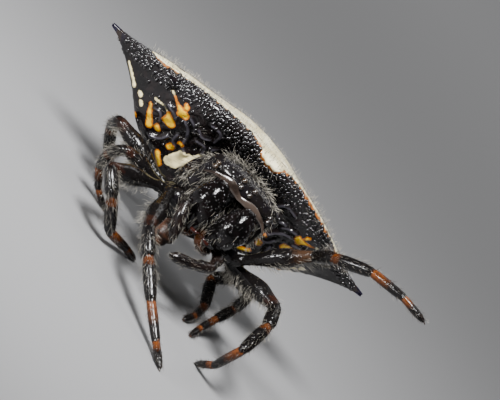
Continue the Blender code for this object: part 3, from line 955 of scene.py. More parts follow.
@dataclass
class Abdomen:
    """The broad abdomen, its spines, granules, hair and spinnerets."""

    effects: Effects
    # Profiles at distances from the middle: heights of the back, the rim, the keel and the wall,
    # and places of the front and rear rim and of the wall
    span_x: tuple[float, ...] = (0.0, 1.0, 2.0, 3.0, 4.2, 5.3, 6.2, 7.1, 7.8)
    top_z: tuple[float, ...] = (2.4, 2.34, 2.14, 1.95, 1.72, 1.45, 1.18, 0.98, 0.9)
    rim_z: tuple[float, ...] = (1.62, 1.72, 1.78, 1.7, 1.44, 1.16, 1.02, 0.93, 0.88)
    bottom_z: tuple[float, ...] = (-3.0, -2.7, -2.05, -1.6, -1.15, -0.38, 0.14, 0.56, 0.8)
    front_y: tuple[float, ...] = (2.05, 2.08, 2.22, 2.5, 3.05, 3.9, 4.3, 4.68, 4.88)
    rear_y: tuple[float, ...] = (7.4, 7.4, 7.3, 7.1, 6.7, 6.1, 5.7, 5.32, 5.12)
    wall_z: tuple[float, ...] = (0.35, 0.4, 0.6, 0.75, 0.5, 0.42, 0.62, 0.74, 0.82)
    wall_y: tuple[float, ...] = (3.85, 3.65, 3.05, 2.8, 3.3, 4.2, 4.5, 4.75, 4.92)
    cone_y: float = 4.7
    rows: int = 400
    columns: int = 240
    crowding: float = 0.93  # How far the rows crowd towards the spines, as a share of a sine
    inset: float = 0.03
    granule_gap: float = 0.165
    granules: int = 9000
    # Lower edge of the cream back as seen from the front: place across, height
    edge_x: tuple[float, ...] = (
        -6.4, -5.8, -4.5, -2.9, -1.5, -0.9, -0.12, 0.43, 0.73, 1.3, 1.9, 2.6, 3.6, 4.45, 5.7, 6.4,
    )
    edge_z: tuple[float, ...] = (
        1.3, 1.2, 1.58, 1.9, 2.04, 1.94, 1.5, 1.53, 1.85, 2.0, 1.93, 1.77, 1.6, 1.44, 1.18, 1.3,
    )
    # Lower edge of the granules on the front wall: distance from the middle, height
    grain_x: tuple[float, ...] = (0.0, 1.6, 2.5, 3.5, 4.1, 4.7, 5.4, 6.5, 7.4)
    grain_z: tuple[float, ...] = (1.1, 1.14, 1.12, 1.0, 0.86, 0.7, 0.6, 0.62, 0.76)

    def outline(self, x: Array, v: Array) -> Array:
        """The shell at distance x from the middle and v round it, from 0 at the front rim to 10.

        At each x ten corners of the section, set by the profiles, are joined by Catmull-Rom curves.

        Args:
            x: Distances from the middle, by row.
            v: Places round the section, by column.

        Returns:
            Points by row and column.
        """
        away = np.abs(x)
        profiles = (
            self.top_z, self.rim_z, self.bottom_z, self.wall_z,
            self.front_y, self.rear_y, self.wall_y,
        )
        top, rim, low, wall, front, rear, wall_y = (self.along(given, away) for given in profiles)
        middle = (front + rear) / 2 * 0.6 + self.cone_y * 0.4
        corners = np.array(
            [
                (front, rim),
                (front * 0.72 + rear * 0.28, rim * 0.25 + top * 0.75),
                (middle * 0.9 + rear * 0.1, top),
                (front * 0.22 + rear * 0.78, rim * 0.3 + top * 0.7),
                (rear, rim * 0.85 + wall * 0.15),
                (rear * 0.93 + middle * 0.07, wall * 0.8 + low * 0.2),
                (rear * 0.35 + middle * 0.65, wall * 0.26 + low * 0.74),
                (middle, low),
                (wall_y * 0.5 + middle * 0.5, wall * 0.43 + low * 0.57),
                (wall_y, wall),
            ]
        )
        i = np.floor(v).astype(int) % 10
        t = v - np.floor(v)
        a, b, c, d = (corners[(i + k) % 10] for k in (-1, 0, 1, 2))
        t = t[:, None, None]
        curve = (
            (2 * t**3 - 3 * t**2 + 1) * b
            + (t**3 - 2 * t**2 + t) * (c - a) / 2
            + (3 * t**2 - 2 * t**3) * c
            + (t**3 - t**2) * (d - b) / 2
        )
        grid = np.empty((len(x), len(v), 3))
        grid[..., 0] = x[:, None]
        grid[..., 1] = curve[:, 0].T
        grid[..., 2] = curve[:, 1].T
        return grid

    def along(self, profile: tuple[float, ...], away: Array) -> Array:
        """One of the profiles at distances from the middle."""
        return hermite(self.span_x, profile, away)

    def edge_height(self, x: Array) -> Array:
        """Height of the cream back's front edge, with a scalloped run of small waves."""
        waves = 0.07 * np.abs(np.sin(x * 6.1 + 0.9 * np.sin(2.1 * x))) + 0.025 * np.sin(17 * x)
        return hermite(self.edge_x, self.edge_z, x) + waves

    def fields(self, grid: Array) -> dict[str, Array]:
        """What the material reads: how far inside each marking a point lies, in millimetres.

        The cream back ends at its edge in front, at a scalloped line behind and before the tips.
        A mark or scar is the inside of a stroke or an oval, and a band is a wavy stripe in y.

        Args:
            grid: Points of the shell by row and column.

        Returns:
            One array for each field.
        """
        x, y, z = grid[..., 0], grid[..., 1], grid[..., 2]
        away = np.abs(x)
        rim, wall = self.along(self.rim_z, away), self.along(self.wall_z, away)
        behind_rim = smoothstep(0.35, 1.1, y - self.along(self.front_y, away))
        front = z - self.edge_height(x) + 2 * smoothstep(-0.05, 0.1, z - rim) * behind_rim
        rear_edge = self.along(self.rear_y, away) - 0.55 - 0.12 * np.abs(np.sin(3.1 * x))
        rear = np.minimum(rear_edge - y, z - wall)
        tip = 5.95 - away + 0.5 * (y - 5.0) * np.sign(5.0 - y)
        cream = np.minimum(np.minimum(front, rear), tip)
        cream = np.clip(np.where(z < wall + 0.15, -0.5, cream), -1, 1)
        folded = np.stack([away, y, z], -1)
        marks = {tint: np.full(x.shape, OUTSIDE) for tint in Tint}
        for mark in MARKS:
            stroke = capsule_distance(folded, mark.start, mark.end, mark.r_start, mark.r_end)
            inside = np.where((x > 0) & (not mark.both), OUTSIDE, -0.02 - stroke)
            marks[mark.tint] = np.maximum(marks[mark.tint], inside)
        on_back = z > rim - 0.4
        band_middle = 0.2 + 0.06 * np.cos(2.2 * x) - np.abs(y - 5.15 - 0.25 * np.cos(0.9 * x))
        band_rear = 0.14 + 0.05 * np.cos(3 * x) - np.abs(y - 6.45 + 0.03 * x * x)
        dark = np.where(on_back, np.maximum(band_middle, band_rear), -1)
        pit = np.full(x.shape, OUTSIDE)
        for px, py, rx, ry in self.scars():
            ring = np.sqrt(((away - px) / rx) ** 2 + ((y - py) / ry) ** 2)
            pit = np.maximum(pit, (1 - ring) * min(rx, ry))
        pit = np.where(on_back, pit, -1)
        return {
            "cream": cream,
            "gold": marks[Tint.GOLD],
            "milk": marks[Tint.MILK],
            "dark": dark,
            "pit": pit,
            # Share of the painted violet sheen, rising towards the spine tips
            "spine": np.clip((away - 5.6) / 2.2, 0, 1),
            "fold": np.zeros(x.shape),
        }

    def scars(self) -> list[tuple[float, float, float, float]]:
        """The dark oval scars of the back's one half: front row, middle two and rear row.

        Returns:
            Place across, place to the rear and the two radii of each.
        """
        front = [(0.75 + 0.95 * k, 3.0 + 0.11 * k * k, 0.2, 0.13) for k in range(5)]
        middle = [(0.85, 4.55, 0.17, 0.13), (1.05, 5.75, 0.2, 0.15)]
        rear = [(0.45 + 0.9 * k, 6.85 - 0.06 * k * k, 0.17, 0.11) for k in range(4)]
        return front + middle + rear

    def shell(self) -> tuple[Array, dict[str, Array]]:
        """The shell with its relief: each point moves along its normal by the sum of all lifts.

        The back stands up, the scars sink in, the marks and the folds stand up, and the flanks
        have crossed waves.

        Returns:
            The grid of points, and its fields.
        """
        u = np.linspace(-1, 1, self.rows)
        quarter = math.pi / 2 * self.crowding
        x = np.sin(u * math.pi / 2 * self.crowding) / math.sin(quarter) * self.span_x[-1]
        v = np.linspace(0, 10, self.columns, endpoint=False)
        grid = self.outline(x, v)
        fields = self.fields(grid)
        normal = normals_of(grid)
        away, y, z = np.abs(grid[..., 0]), grid[..., 1], grid[..., 2]
        lift = np.full(away.shape, -self.inset)
        lift += 0.05 * smoothstep(-0.02, 0.12, fields["cream"])
        lift -= 0.05 * smoothstep(-0.08, 0.06, fields["pit"])
        gold, milk = (smoothstep(-0.05, 0.08, fields[name]) for name in ("gold", "milk"))
        lift += 0.035 * gold + 0.03 * milk
        across = smoothstep(0.4, 1.2, away) * smoothstep(6.2, 5.2, away)
        flank = smoothstep(1.2, 0.7, z) * across * (y < 4.9)
        lift += 0.03 * flank * np.sin(away * 7 + 2 * np.sin(z * 3)) * np.cos(z * 8 + away * 2)
        folded = np.stack([away, y, z], -1)
        for fold in FOLDS:
            near = np.full(away.shape, -OUTSIDE)
            line = winding(np.array(fold))
            for start, end in zip(line[:-1], line[1:]):
                near = np.minimum(near, capsule_distance(folded, start, end, 0.0, 0.0))
            lift += 0.12 * np.exp(-((near / 0.08) ** 2)) - 0.03 * bump(near, 0.18, 0.07)
            # Mask of the fold ridges, which carries their painted highlight and softer gloss
            fields["fold"] = np.maximum(fields["fold"], np.exp(-((near / 0.09) ** 2)))
        return grid + normal * lift[..., None], fields

    def build(self) -> None:
        """Makes the skin, the granules, the spines and the coat."""
        finish = AbdomenFinish(
            "abdomen_shell", (0.004, 0.0032, 0.0036), (0.009, 0.006, 0.006),
            roughness=0.17, grain=7.0, relief=0.012, specular=0.45,
        )
        grid, fields = self.shell()
        skin = Surface("abdomen_skin", tuple(fields))
        skin.add_grid(STANCE.abdomen(grid), fields)
        black = dict.fromkeys(fields, OUTSIDE) | {"cream": -1.0, "dark": -1.0, "pit": -1.0}
        for sign in (-1, 1):
            for line, radii in self.horn_lines(sign):
                horn = tube_grid(STANCE.abdomen(line), radii)
                # The short spines carry part of the painted violet sheen
                skin.add_grid(horn, black | {"spine": 0.6, "fold": 0.0})
        skin.build(finish.build(self.effects), Slot.ABDOMEN, ("abdomen",))
        self.add_granules(grid, fields)
        self.add_hair(grid, fields)
        self.add_spinnerets()

    def horn_lines(self, sign: int) -> list[tuple[Array, Array]]:
        """The short front and rear spines of one side.

        Args:
            sign: 1 on the spider's left, -1 on its right.

        Returns:
            The centre line and the radius along it of each.
        """
        share = np.linspace(0, 1, 16)
        knots = np.linspace(0, 1, 4)
        return [
            (
                np.linspace((sign * 4.2, 3.9, 1.1), (sign * 5.1, 3.15, 1.12), 16),
                hermite(knots, (0.46, 0.38, 0.24, 0.05), share),
            ),
            (
                np.linspace((sign * 1.6, 6.9, 1.0), (sign * 1.85, 8.15, 0.95), 16),
                hermite(knots, (0.6, 0.46, 0.32, 0.06), share),
            ),
        ]

    def add_granules(self, grid: Array, fields: dict[str, Array]) -> None:
        """Sets glossy granules over the black walls, crowded towards the front rim.

        Args:
            grid: Points of the shell.
            fields: Its fields.
        """
        away, y, z = np.abs(grid[..., 0]), grid[..., 1], grid[..., 2]
        ahead = y < 5.0
        black = smoothstep(-0.06, -0.14, fields["cream"])
        front = smoothstep(-0.12, 0.08, z - hermite(self.grain_x, self.grain_z, away)) * ahead
        rear = smoothstep(-0.3, 0.1, z - 0.3) * ~ahead
        across = smoothstep(0.6, 1.2, away) * smoothstep(5.6, 4.6, away)
        wall = 0.012 * ahead * smoothstep(-1.2, -0.4, z) * across
        gold, milk = (smoothstep(-0.04, -0.12, fields[name]) for name in ("gold", "milk"))
        crowd = np.maximum(np.maximum(front, rear * 0.7), wall) * smoothstep(7.4, 6.9, away)
        density = black * np.minimum(gold, milk) * crowd + LEAST
        roots = scatter(grid, self.granules, density, 11)
        roots = thinned(roots, self.granule_gap, 12)
        draw = np.random.default_rng(13)
        size = draw.uniform(0.055, 0.105, len(roots.points))
        beads = Surface("abdomen_granules")
        add_domes(beads, roots, size, 0.85, STANCE.abdomen)
        for sign in (-1, 1):
            for k, (line, radii) in enumerate(self.horn_lines(sign)):
                horn = tube_grid(line, radii)
                sparser = np.linspace(1, 0.15, len(horn))[:, None]
                spots = scatter(horn, 260, sparser, 14 + k + sign)
                spots = thinned(spots, self.granule_gap, 15)
                size = draw.uniform(0.05, 0.09, len(spots.points))
                add_domes(beads, spots, size, 0.8, STANCE.abdomen)
        beads.build(granule_gloss().build(self.effects), Slot.ABDOMEN)

    def add_hair(self, grid: Array, fields: dict[str, Array]) -> None:
        """Long pale hairs on the rim, short ones over the back and a few below.

        Args:
            grid: Points of the shell.
            fields: Its fields.
        """
        coat = Surface("abdomen_hair", HAIR_FIELDS)
        z, away = grid[..., 2], np.abs(grid[..., 0])
        rim = bump(fields["cream"], 0.1, 0.35) * (z > 0.8) * smoothstep(7.6, 6.8, away) + LEAST
        back = smoothstep(0, 0.3, fields["cream"]) + LEAST
        below = (z < 0.6) * (away > 1.0) + 0.0
        axes = STANCE.axes(STANCE.waist_twist)
        for count, density, hair, seed in (
            (700, rim, Hair(0.34, 0.016, lift=0.8, bend=0.25, spread=0.35, seed=21), 22),
            (900, back, Hair(0.22, 0.012, lift=0.7, bend=0.3, seed=23), 24),
            (260, below, Hair(0.25, 0.012, lift=0.75, bend=0.25, seed=25), 26),
        ):
            roots = scatter(grid, count, density, seed).carried(STANCE.abdomen, axes)
            hair.add_to(coat, roots, np.tile(axes[1] * 0.4 + axes[2] * 0.5, (count, 1)))
        coat.build(pale_hair().build(self.effects), Slot.ABDOMEN)

    def add_spinnerets(self) -> None:
        """The ring on the tip of the underside, a swollen tube, with six tapered tubes round it."""
        tip = Surface("spinneret_ring")
        s = np.linspace(0, 1, 14)
        line = np.stack([0 * s, self.cone_y - 0.02 * s, -2.95 - 0.62 * s], -1)
        radius = hermite((0, 0.2, 0.5, 0.75, 1), (0.42, 0.5, 0.48, 0.5, 0.36), s)
        tip.add_grid(tube_grid(STANCE.abdomen(line), radius, 28))
        for k in range(6):
            angle = k * math.pi / 3 + 0.3
            reach = 0.2 if k % 2 else 0.15
            way = np.array([math.cos(angle), math.sin(angle), 0]) * reach
            base = np.array([0, self.cone_y - 0.02, -3.62]) + way
            cone = np.linspace(base, base + way * 0.2 + (0, 0, -0.22), 6)
            taper = np.array([0.11, 0.11, 0.1, 0.085, 0.06, 0.03])
            tip.add_grid(tube_grid(STANCE.abdomen(cone), taper, 12))
        finish = Finish(
            "spinneret_brown", (0.1, 0.035, 0.014), (0.02, 0.012, 0.01), roughness=0.4, relief=0.01
        )
        tip.build(finish.build(self.effects), Slot.SPINNERETS, ("spinnerets",))


def pale_hair() -> HairFinish:
    """Pale grey-cream hair."""
    root, tip = (0.045, 0.04, 0.032), (0.56, 0.52, 0.44)
    return HairFinish("pale_hair", root, tip, roughness=0.4, specular=0.4)


def winding(corners: Array) -> Array:
    """A line along corners, its bends cut twice, each time at a quarter of both sides.

    Args:
        corners: Corner points.

    Returns:
        The points of the line, with the same two ends.
    """
    for _ in range(2):
        early = corners[:-1] * 0.75 + corners[1:] * 0.25
        late = corners[:-1] * 0.25 + corners[1:] * 0.75
        inner = np.concatenate([early, late], 1).reshape(-1, 3)
        corners = np.concatenate([corners[:1], inner, corners[-1:]])
    return corners


def granule_gloss() -> Finish:
    """Wet-looking black for the granules.

    Returns:
        The finish.
    """
    first, second = (0.006, 0.005, 0.0055), (0.012, 0.01, 0.011)
    gloss = {"roughness": 0.14, "grain": 14.0, "relief": 0.002, "coat": 0.3, "specular": 0.6}
    return Finish("granule_gloss", first, second, **gloss)


def flattened(path: Array, radius: Array, share: float) -> Array:
    """A tube squeezed along the body's length: offsets from its line shrink to the share.

    Args:
        path: Centre line.
        radius: Radius at each of its points.
        share: Depth of the squeezed tube as a share of its height.

    Returns:
        Grid of points by ring and side.
    """
    grid = tube_grid(path, radius)
    rear = STANCE.axes()[1]
    centre = grid.mean(1, keepdims=True)
    return grid - ((grid - centre) @ rear)[..., None] * rear * (1 - share)


def thinned(roots: Roots, gap: float, seed: int) -> Roots:
    """Drops places that crowd: of all in one cube cell of the gap's size only one stays.

    Args:
        roots: The places.
        gap: Side of a cell.
        seed: Seed of the cells' shift.

    Returns:
        The places that stay, in their old order.
    """
    shift = np.random.default_rng(seed).random(3)
    cell = np.floor(roots.points / gap + shift).astype(np.int64)
    _, first = np.unique(cell, axis=0, return_index=True)
    return roots.kept(np.sort(first))


def add_domes(
    beads: Surface, roots: Roots, size: Array, height: float, to_world: Callable[[Array], Array]
) -> None:
    """Half balls on a skin: root + r (cos a sin b side + sin a sin b over + height cos b normal).

    Args:
        beads: The mesh that takes them.
        roots: Where they sit, in the frame of the part.
        size: Radius of each.
        height: Height as a share of the radius.
        to_world: Turns points of the part's frame into the world's.
    """
    sides, rows = 8, 3
    tilt = np.array([118, 78, 40]) * math.pi / 180
    angle = np.arange(sides) * 2 * math.pi / sides
    side = unit(np.cross(roots.normals, roots.along))
    over = np.cross(roots.normals, side)
    centre = roots.points
    reach, rise = np.sin(tilt)[:, None], np.cos(tilt)[:, None]
    ring = centre[:, None, None] + size[:, None, None, None] * (
        (reach * np.cos(angle))[None, ..., None] * side[:, None, None]
        + (reach * np.sin(angle))[None, ..., None] * over[:, None, None]
        + height * (rise * np.ones(sides))[None, ..., None] * roots.normals[:, None, None]
    )
    n = len(centre)
    top = centre + size[:, None] * height * roots.normals
    foot = centre - size[:, None] * DOME_ROOT * roots.normals
    points = np.concatenate([ring.reshape(n, -1, 3), top[:, None], foot[:, None]], 1).reshape(-1, 3)
    here = np.arange(rows * sides).reshape(rows, sides)
    crown = np.full(sides, rows * sides)
    one = np.concatenate(
        [
            strip_faces(here),
            np.stack([here[-1], np.roll(here[-1], -1), crown], -1),
            np.stack([np.roll(here[0], -1), here[0], crown + 1], -1),
        ]
    )
    each = rows * sides + 2
    faces = (one[None] + (np.arange(n) * each)[:, None, None]).reshape(-1, 3)
    uv = np.repeat(roots.uv, each, 0) * SPARE + np.tile(np.linspace(0, PATCH, each), n)[:, None]
    beads.add(to_world(points), faces, {}, uv)


# The legs


@dataclass(frozen=True)
class LegPlan:
    """Where one leg starts, its five lengths, and the bearing and slope of each joint."""

    side: Side
    number: int
    bearings: tuple[float, ...]
    slopes: tuple[float, ...]
    raised: bool = False

    HIPS: ClassVar[dict[int, Point]] = {
        1: (1.9, 0.82, -1.95), 2: (2.1, 1.78, -2.1), 3: (2.1, 2.5, -2.1), 4: (1.9, 3.22, -2.0),
    }
    GIRTHS: ClassVar[dict[int, float]] = {1: 1.0, 2: 1.0, 3: 0.84, 4: 0.97}
    LENGTHS: ClassVar[dict[int, tuple[float, ...]]] = {
        1: (3.2, 1.25, 1.8, 1.66, 1.1),
        2: (3.05, 1.2, 1.7, 1.65, 1.0),
        3: (2.1, 0.85, 1.05, 1.1, 0.8),
        4: (3.1, 1.15, 1.7, 1.7, 0.95),
    }
    TIP_HEIGHT: ClassVar[float] = 0.1

    @property
    def name(self) -> str:
        """The name that the leg's solids share."""
        return f"leg_{self.number}_{self.side.value}"

    def hip(self) -> Array:
        """The hip joint in the head's frame."""
        x, y, z = self.HIPS[self.number]
        return np.array([self.side.sign * x, y, z])

    def hip_root(self) -> Array:
        """Where the hip stub starts inside the trunk, in the head's frame."""
        return np.array([self.side.sign * 0.75, 0.6 * self.hip()[1] + 0.8, -1.85])

    def joints(self) -> Array:
        """The hip and the five joint ends in the world, the last one the tip.

        Each end lies its length from the last one, along its bearing and slope. The last slope of
        a standing leg brings the tip down to its height over the floor.

        Returns:
            Six points as rows.
        """
        here = STANCE.head(self.hip())
        joints = [here]
        for length, bearing, slope in zip(self.LENGTHS[self.number], self.bearings, self.slopes):
            if len(joints) == 5 and not self.raised:
                slope = -math.degrees(math.asin(min(1.0, (here[2] - self.TIP_HEIGHT) / length)))
            b, s = math.radians(bearing), math.radians(slope)
            way = np.array([math.sin(b) * math.cos(s), -math.cos(b) * math.cos(s), math.sin(s)])
            here = here + length * way
            joints.append(here)
        return np.array(joints)


LEG_PLANS = (
    LegPlan(Side.RIGHT, 1, (2, 45, 50, 51, 39), (-15, -27, -25, -22, -13)),
    LegPlan(Side.LEFT, 1, (85, 15, 56, 58, 74), (56, 36, 34, 17, 4), raised=True),
    LegPlan(Side.LEFT, 2, (43, 11, -6, -180, -153), (14, -25, -39, -60, -69)),
    LegPlan(Side.RIGHT, 2, (-46, 55, 118, 139, 136), (-11, -28, -41, -8, -13)),
    LegPlan(Side.RIGHT, 3, (-74, -150, 155, 119, 80), (0, -54, -54, -40, -22)),
    LegPlan(Side.RIGHT, 4, (-104, 175, 140, 140, 145), (2, -32, -37, -28, -15)),
    LegPlan(Side.LEFT, 3, (117, 69, -20, -17, -12), (-14, -86, -39, -27, -18)),
    LegPlan(Side.LEFT, 4, (146, -98, 19, -9, -20), (-16, -50, -23, -5, -14)),
)


@dataclass
class Leg:
    """One leg: a single skin from the hip to the claws, with its bristles."""

    plan: LegPlan
    dressed: bpy.types.Material
    rings: int = 150
    sides: int = 28
    stub: float = 0.3
    # Radius at places along the leg, which are counted in joints from the hip
    place: tuple[float, ...] = (
        -0.2, 0.02, 0.07, 0.12, 0.25, 0.5, 0.62, 0.72, 0.8, 0.9, 0.97,
        1.0, 1.05, 1.3, 1.7, 1.93, 2.0, 2.06, 2.35, 2.7, 2.93,
        3.0, 3.05, 3.3, 3.7, 3.94, 4.0, 4.05, 4.4, 4.8, 5.0,
    )
    radius: tuple[float, ...] = (
        0.2, 0.25, 0.26, 0.21, 0.235, 0.37, 0.405, 0.37, 0.32, 0.27, 0.24,
        0.21, 0.23, 0.265, 0.285, 0.25, 0.205, 0.22, 0.265, 0.25, 0.22,
        0.18, 0.19, 0.2, 0.19, 0.17, 0.15, 0.155, 0.16, 0.145, 0.095,
    )

    def line(self) -> tuple[Array, Array]:
        """The leg's middle, from a stub inside the hip to the tip, its corners rounded.

        Returns:
            The centre line, and the joint count along it.
        """
        joints = self.plan.joints()
        root = STANCE.head(self.plan.hip_root())
        start = joints[0] + unit(root - joints[0]) * self.stub
        count = np.array([-self.stub, 0, 1, 2, 3, 4, 5], float)
        path, places = rounded(np.concatenate([[start], joints]), count, 1200, 0.17, 1.0)
        keep = np.linspace(0, len(path) - 1, self.rings).round().astype(int)
        return path[keep], places[keep]

    def build(self, coat: Surface, dark: Surface, claws: Surface) -> None:
        """Makes the skin and adds its hair and claws to the shared meshes.

        Args:
            coat: Mesh of the pale hairs.
            dark: Mesh of the dark bristles.
            claws: Mesh of the claws.
        """
        path, count = self.line()
        radius = hermite(self.place, self.radius, count) * self.plan.GIRTHS[self.plan.number]
        grid = tube_grid(path, radius, self.sides)
        joint = np.pad(count, CAP_RINGS, "edge")
        skin = Surface(self.plan.name + "_skin", ("joint", "amber"))
        amber = float(self.plan.raised)
        skin.add_grid(grid, {"joint": np.repeat(joint[:, None], self.sides, 1), "amber": amber})
        nodes = tuple(f"{self.plan.name}_{part}" for part in ("femur", "tibia", "foot"))
        skin.build(self.dressed, Slot.LEGS, nodes)
        self.add_hair(grid, joint, coat, dark)
        self.add_claws(path, claws)

    def add_hair(self, grid: Array, joint: Array, coat: Surface, dark: Surface) -> None:
        """Pale hairs, long under the thigh, and dark bristles from the knee to the foot.

        Args:
            grid: Points of the skin.
            joint: Joint count of its rings.
            coat: Mesh of the pale hairs.
            dark: Mesh of the dark bristles.
        """
        seed = self.plan.number * 10 + (self.plan.side.sign + 1) * 50
        centre = grid.mean(1, keepdims=True)
        low = smoothstep(0.0, 0.6, -unit(grid - centre)[..., 2])
        place = np.repeat(joint[:, None], grid.shape[1], 1)
        thigh = smoothstep(0.1, 0.25, place) * smoothstep(1.0, 0.9, place)
        rest = smoothstep(0.9, 1.1, place)
        over = thigh * (1 - low) * 0.5 + rest * 0.5
        shin, foot = rest * smoothstep(3.6, 1.6, place), smoothstep(4.2, 4.6, place)
        strip = LEG_PLANS.index(self.plan)
        for k, (surface, count, density, length, thick, lift, bend) in enumerate(
            (
                (coat, 170, thigh * low, 0.38, 0.015, 0.75, 0.35),
                (coat, 150, over, 0.24, 0.011, 0.6, 0.35),
                (coat, 170, shin, 0.28, 0.012, 0.62, 0.4),
                (dark, 220, rest, 0.2, 0.016, 0.55, 0.3),
                (dark, 60, foot, 0.14, 0.014, 0.5, 0.2),
            )
        ):
            roots = scatter(grid, count, density + LEAST, seed + count)
            roots = roots.tiled(strip, len(LEG_PLANS))
            hair = Hair(length, thick, lift=lift, bend=bend, seed=seed + k)
            hair.add_to(surface, roots, roots.along)

    def add_claws(self, path: Array, claws: Surface) -> None:
        """Two small hooked claws: each runs on along the tip by a sine and drops by a square.

        Args:
            path: Centre line of the leg.
            claws: Mesh of the claws.
        """
        way = unit(path[-1] - path[-4])
        side = unit(np.cross(way, (0, 0, 1.0)))
        down = np.cross(way, side)
        down = down if down[2] <= 0 else -down
        s = np.linspace(0, 1, 8)[:, None]
        for sign in (-1, 1):
            hook = way * (0.02 + 0.17 * np.sin(s * 1.4)) + down * 0.06 * s**2
            line = path[-1] + sign * side * 0.035 + hook
            line[:, 2] = np.maximum(line[:, 2], 0.025)
            claws.add_grid(tube_grid(line, 0.028 * (1 - 0.8 * s[:, 0]), 8, ends=2))


@dataclass
class Legs:
    """The eight legs, and the hair, bristles and claws that they share."""

    effects: Effects
    shell: LegFinish = LegFinish(
        "leg_shell", (0.0035, 0.003, 0.003), (0.006, 0.0045, 0.004),
        roughness=0.18, grain=8.0, relief=0.018, specular=0.28,
    )
    horn: Finish = Finish(
        "claw_horn", (0.02, 0.012, 0.01), (0.06, 0.03, 0.02), roughness=0.2, relief=0.002
    )
    bristle: HairFinish = HairFinish(
        "dark_bristle", (0.02, 0.014, 0.012), (0.06, 0.04, 0.03), roughness=0.35
    )

    def build(self) -> None:
        """Makes every leg, and then the shared meshes."""
        dressed = self.shell.build(self.effects)
        coat = Surface("leg_hair_pale", HAIR_FIELDS)
        dark = Surface("leg_bristles_dark", HAIR_FIELDS)
        claws = Surface("claws")
        for plan in LEG_PLANS:
            Leg(plan, dressed).build(coat, dark, claws)
        coat.build(pale_hair().build(self.effects), Slot.LEGS)
        dark.build(self.bristle.build(self.effects), Slot.LEGS)
        claws.build(self.horn.build(self.effects), Slot.LEGS)


# The head and trunk


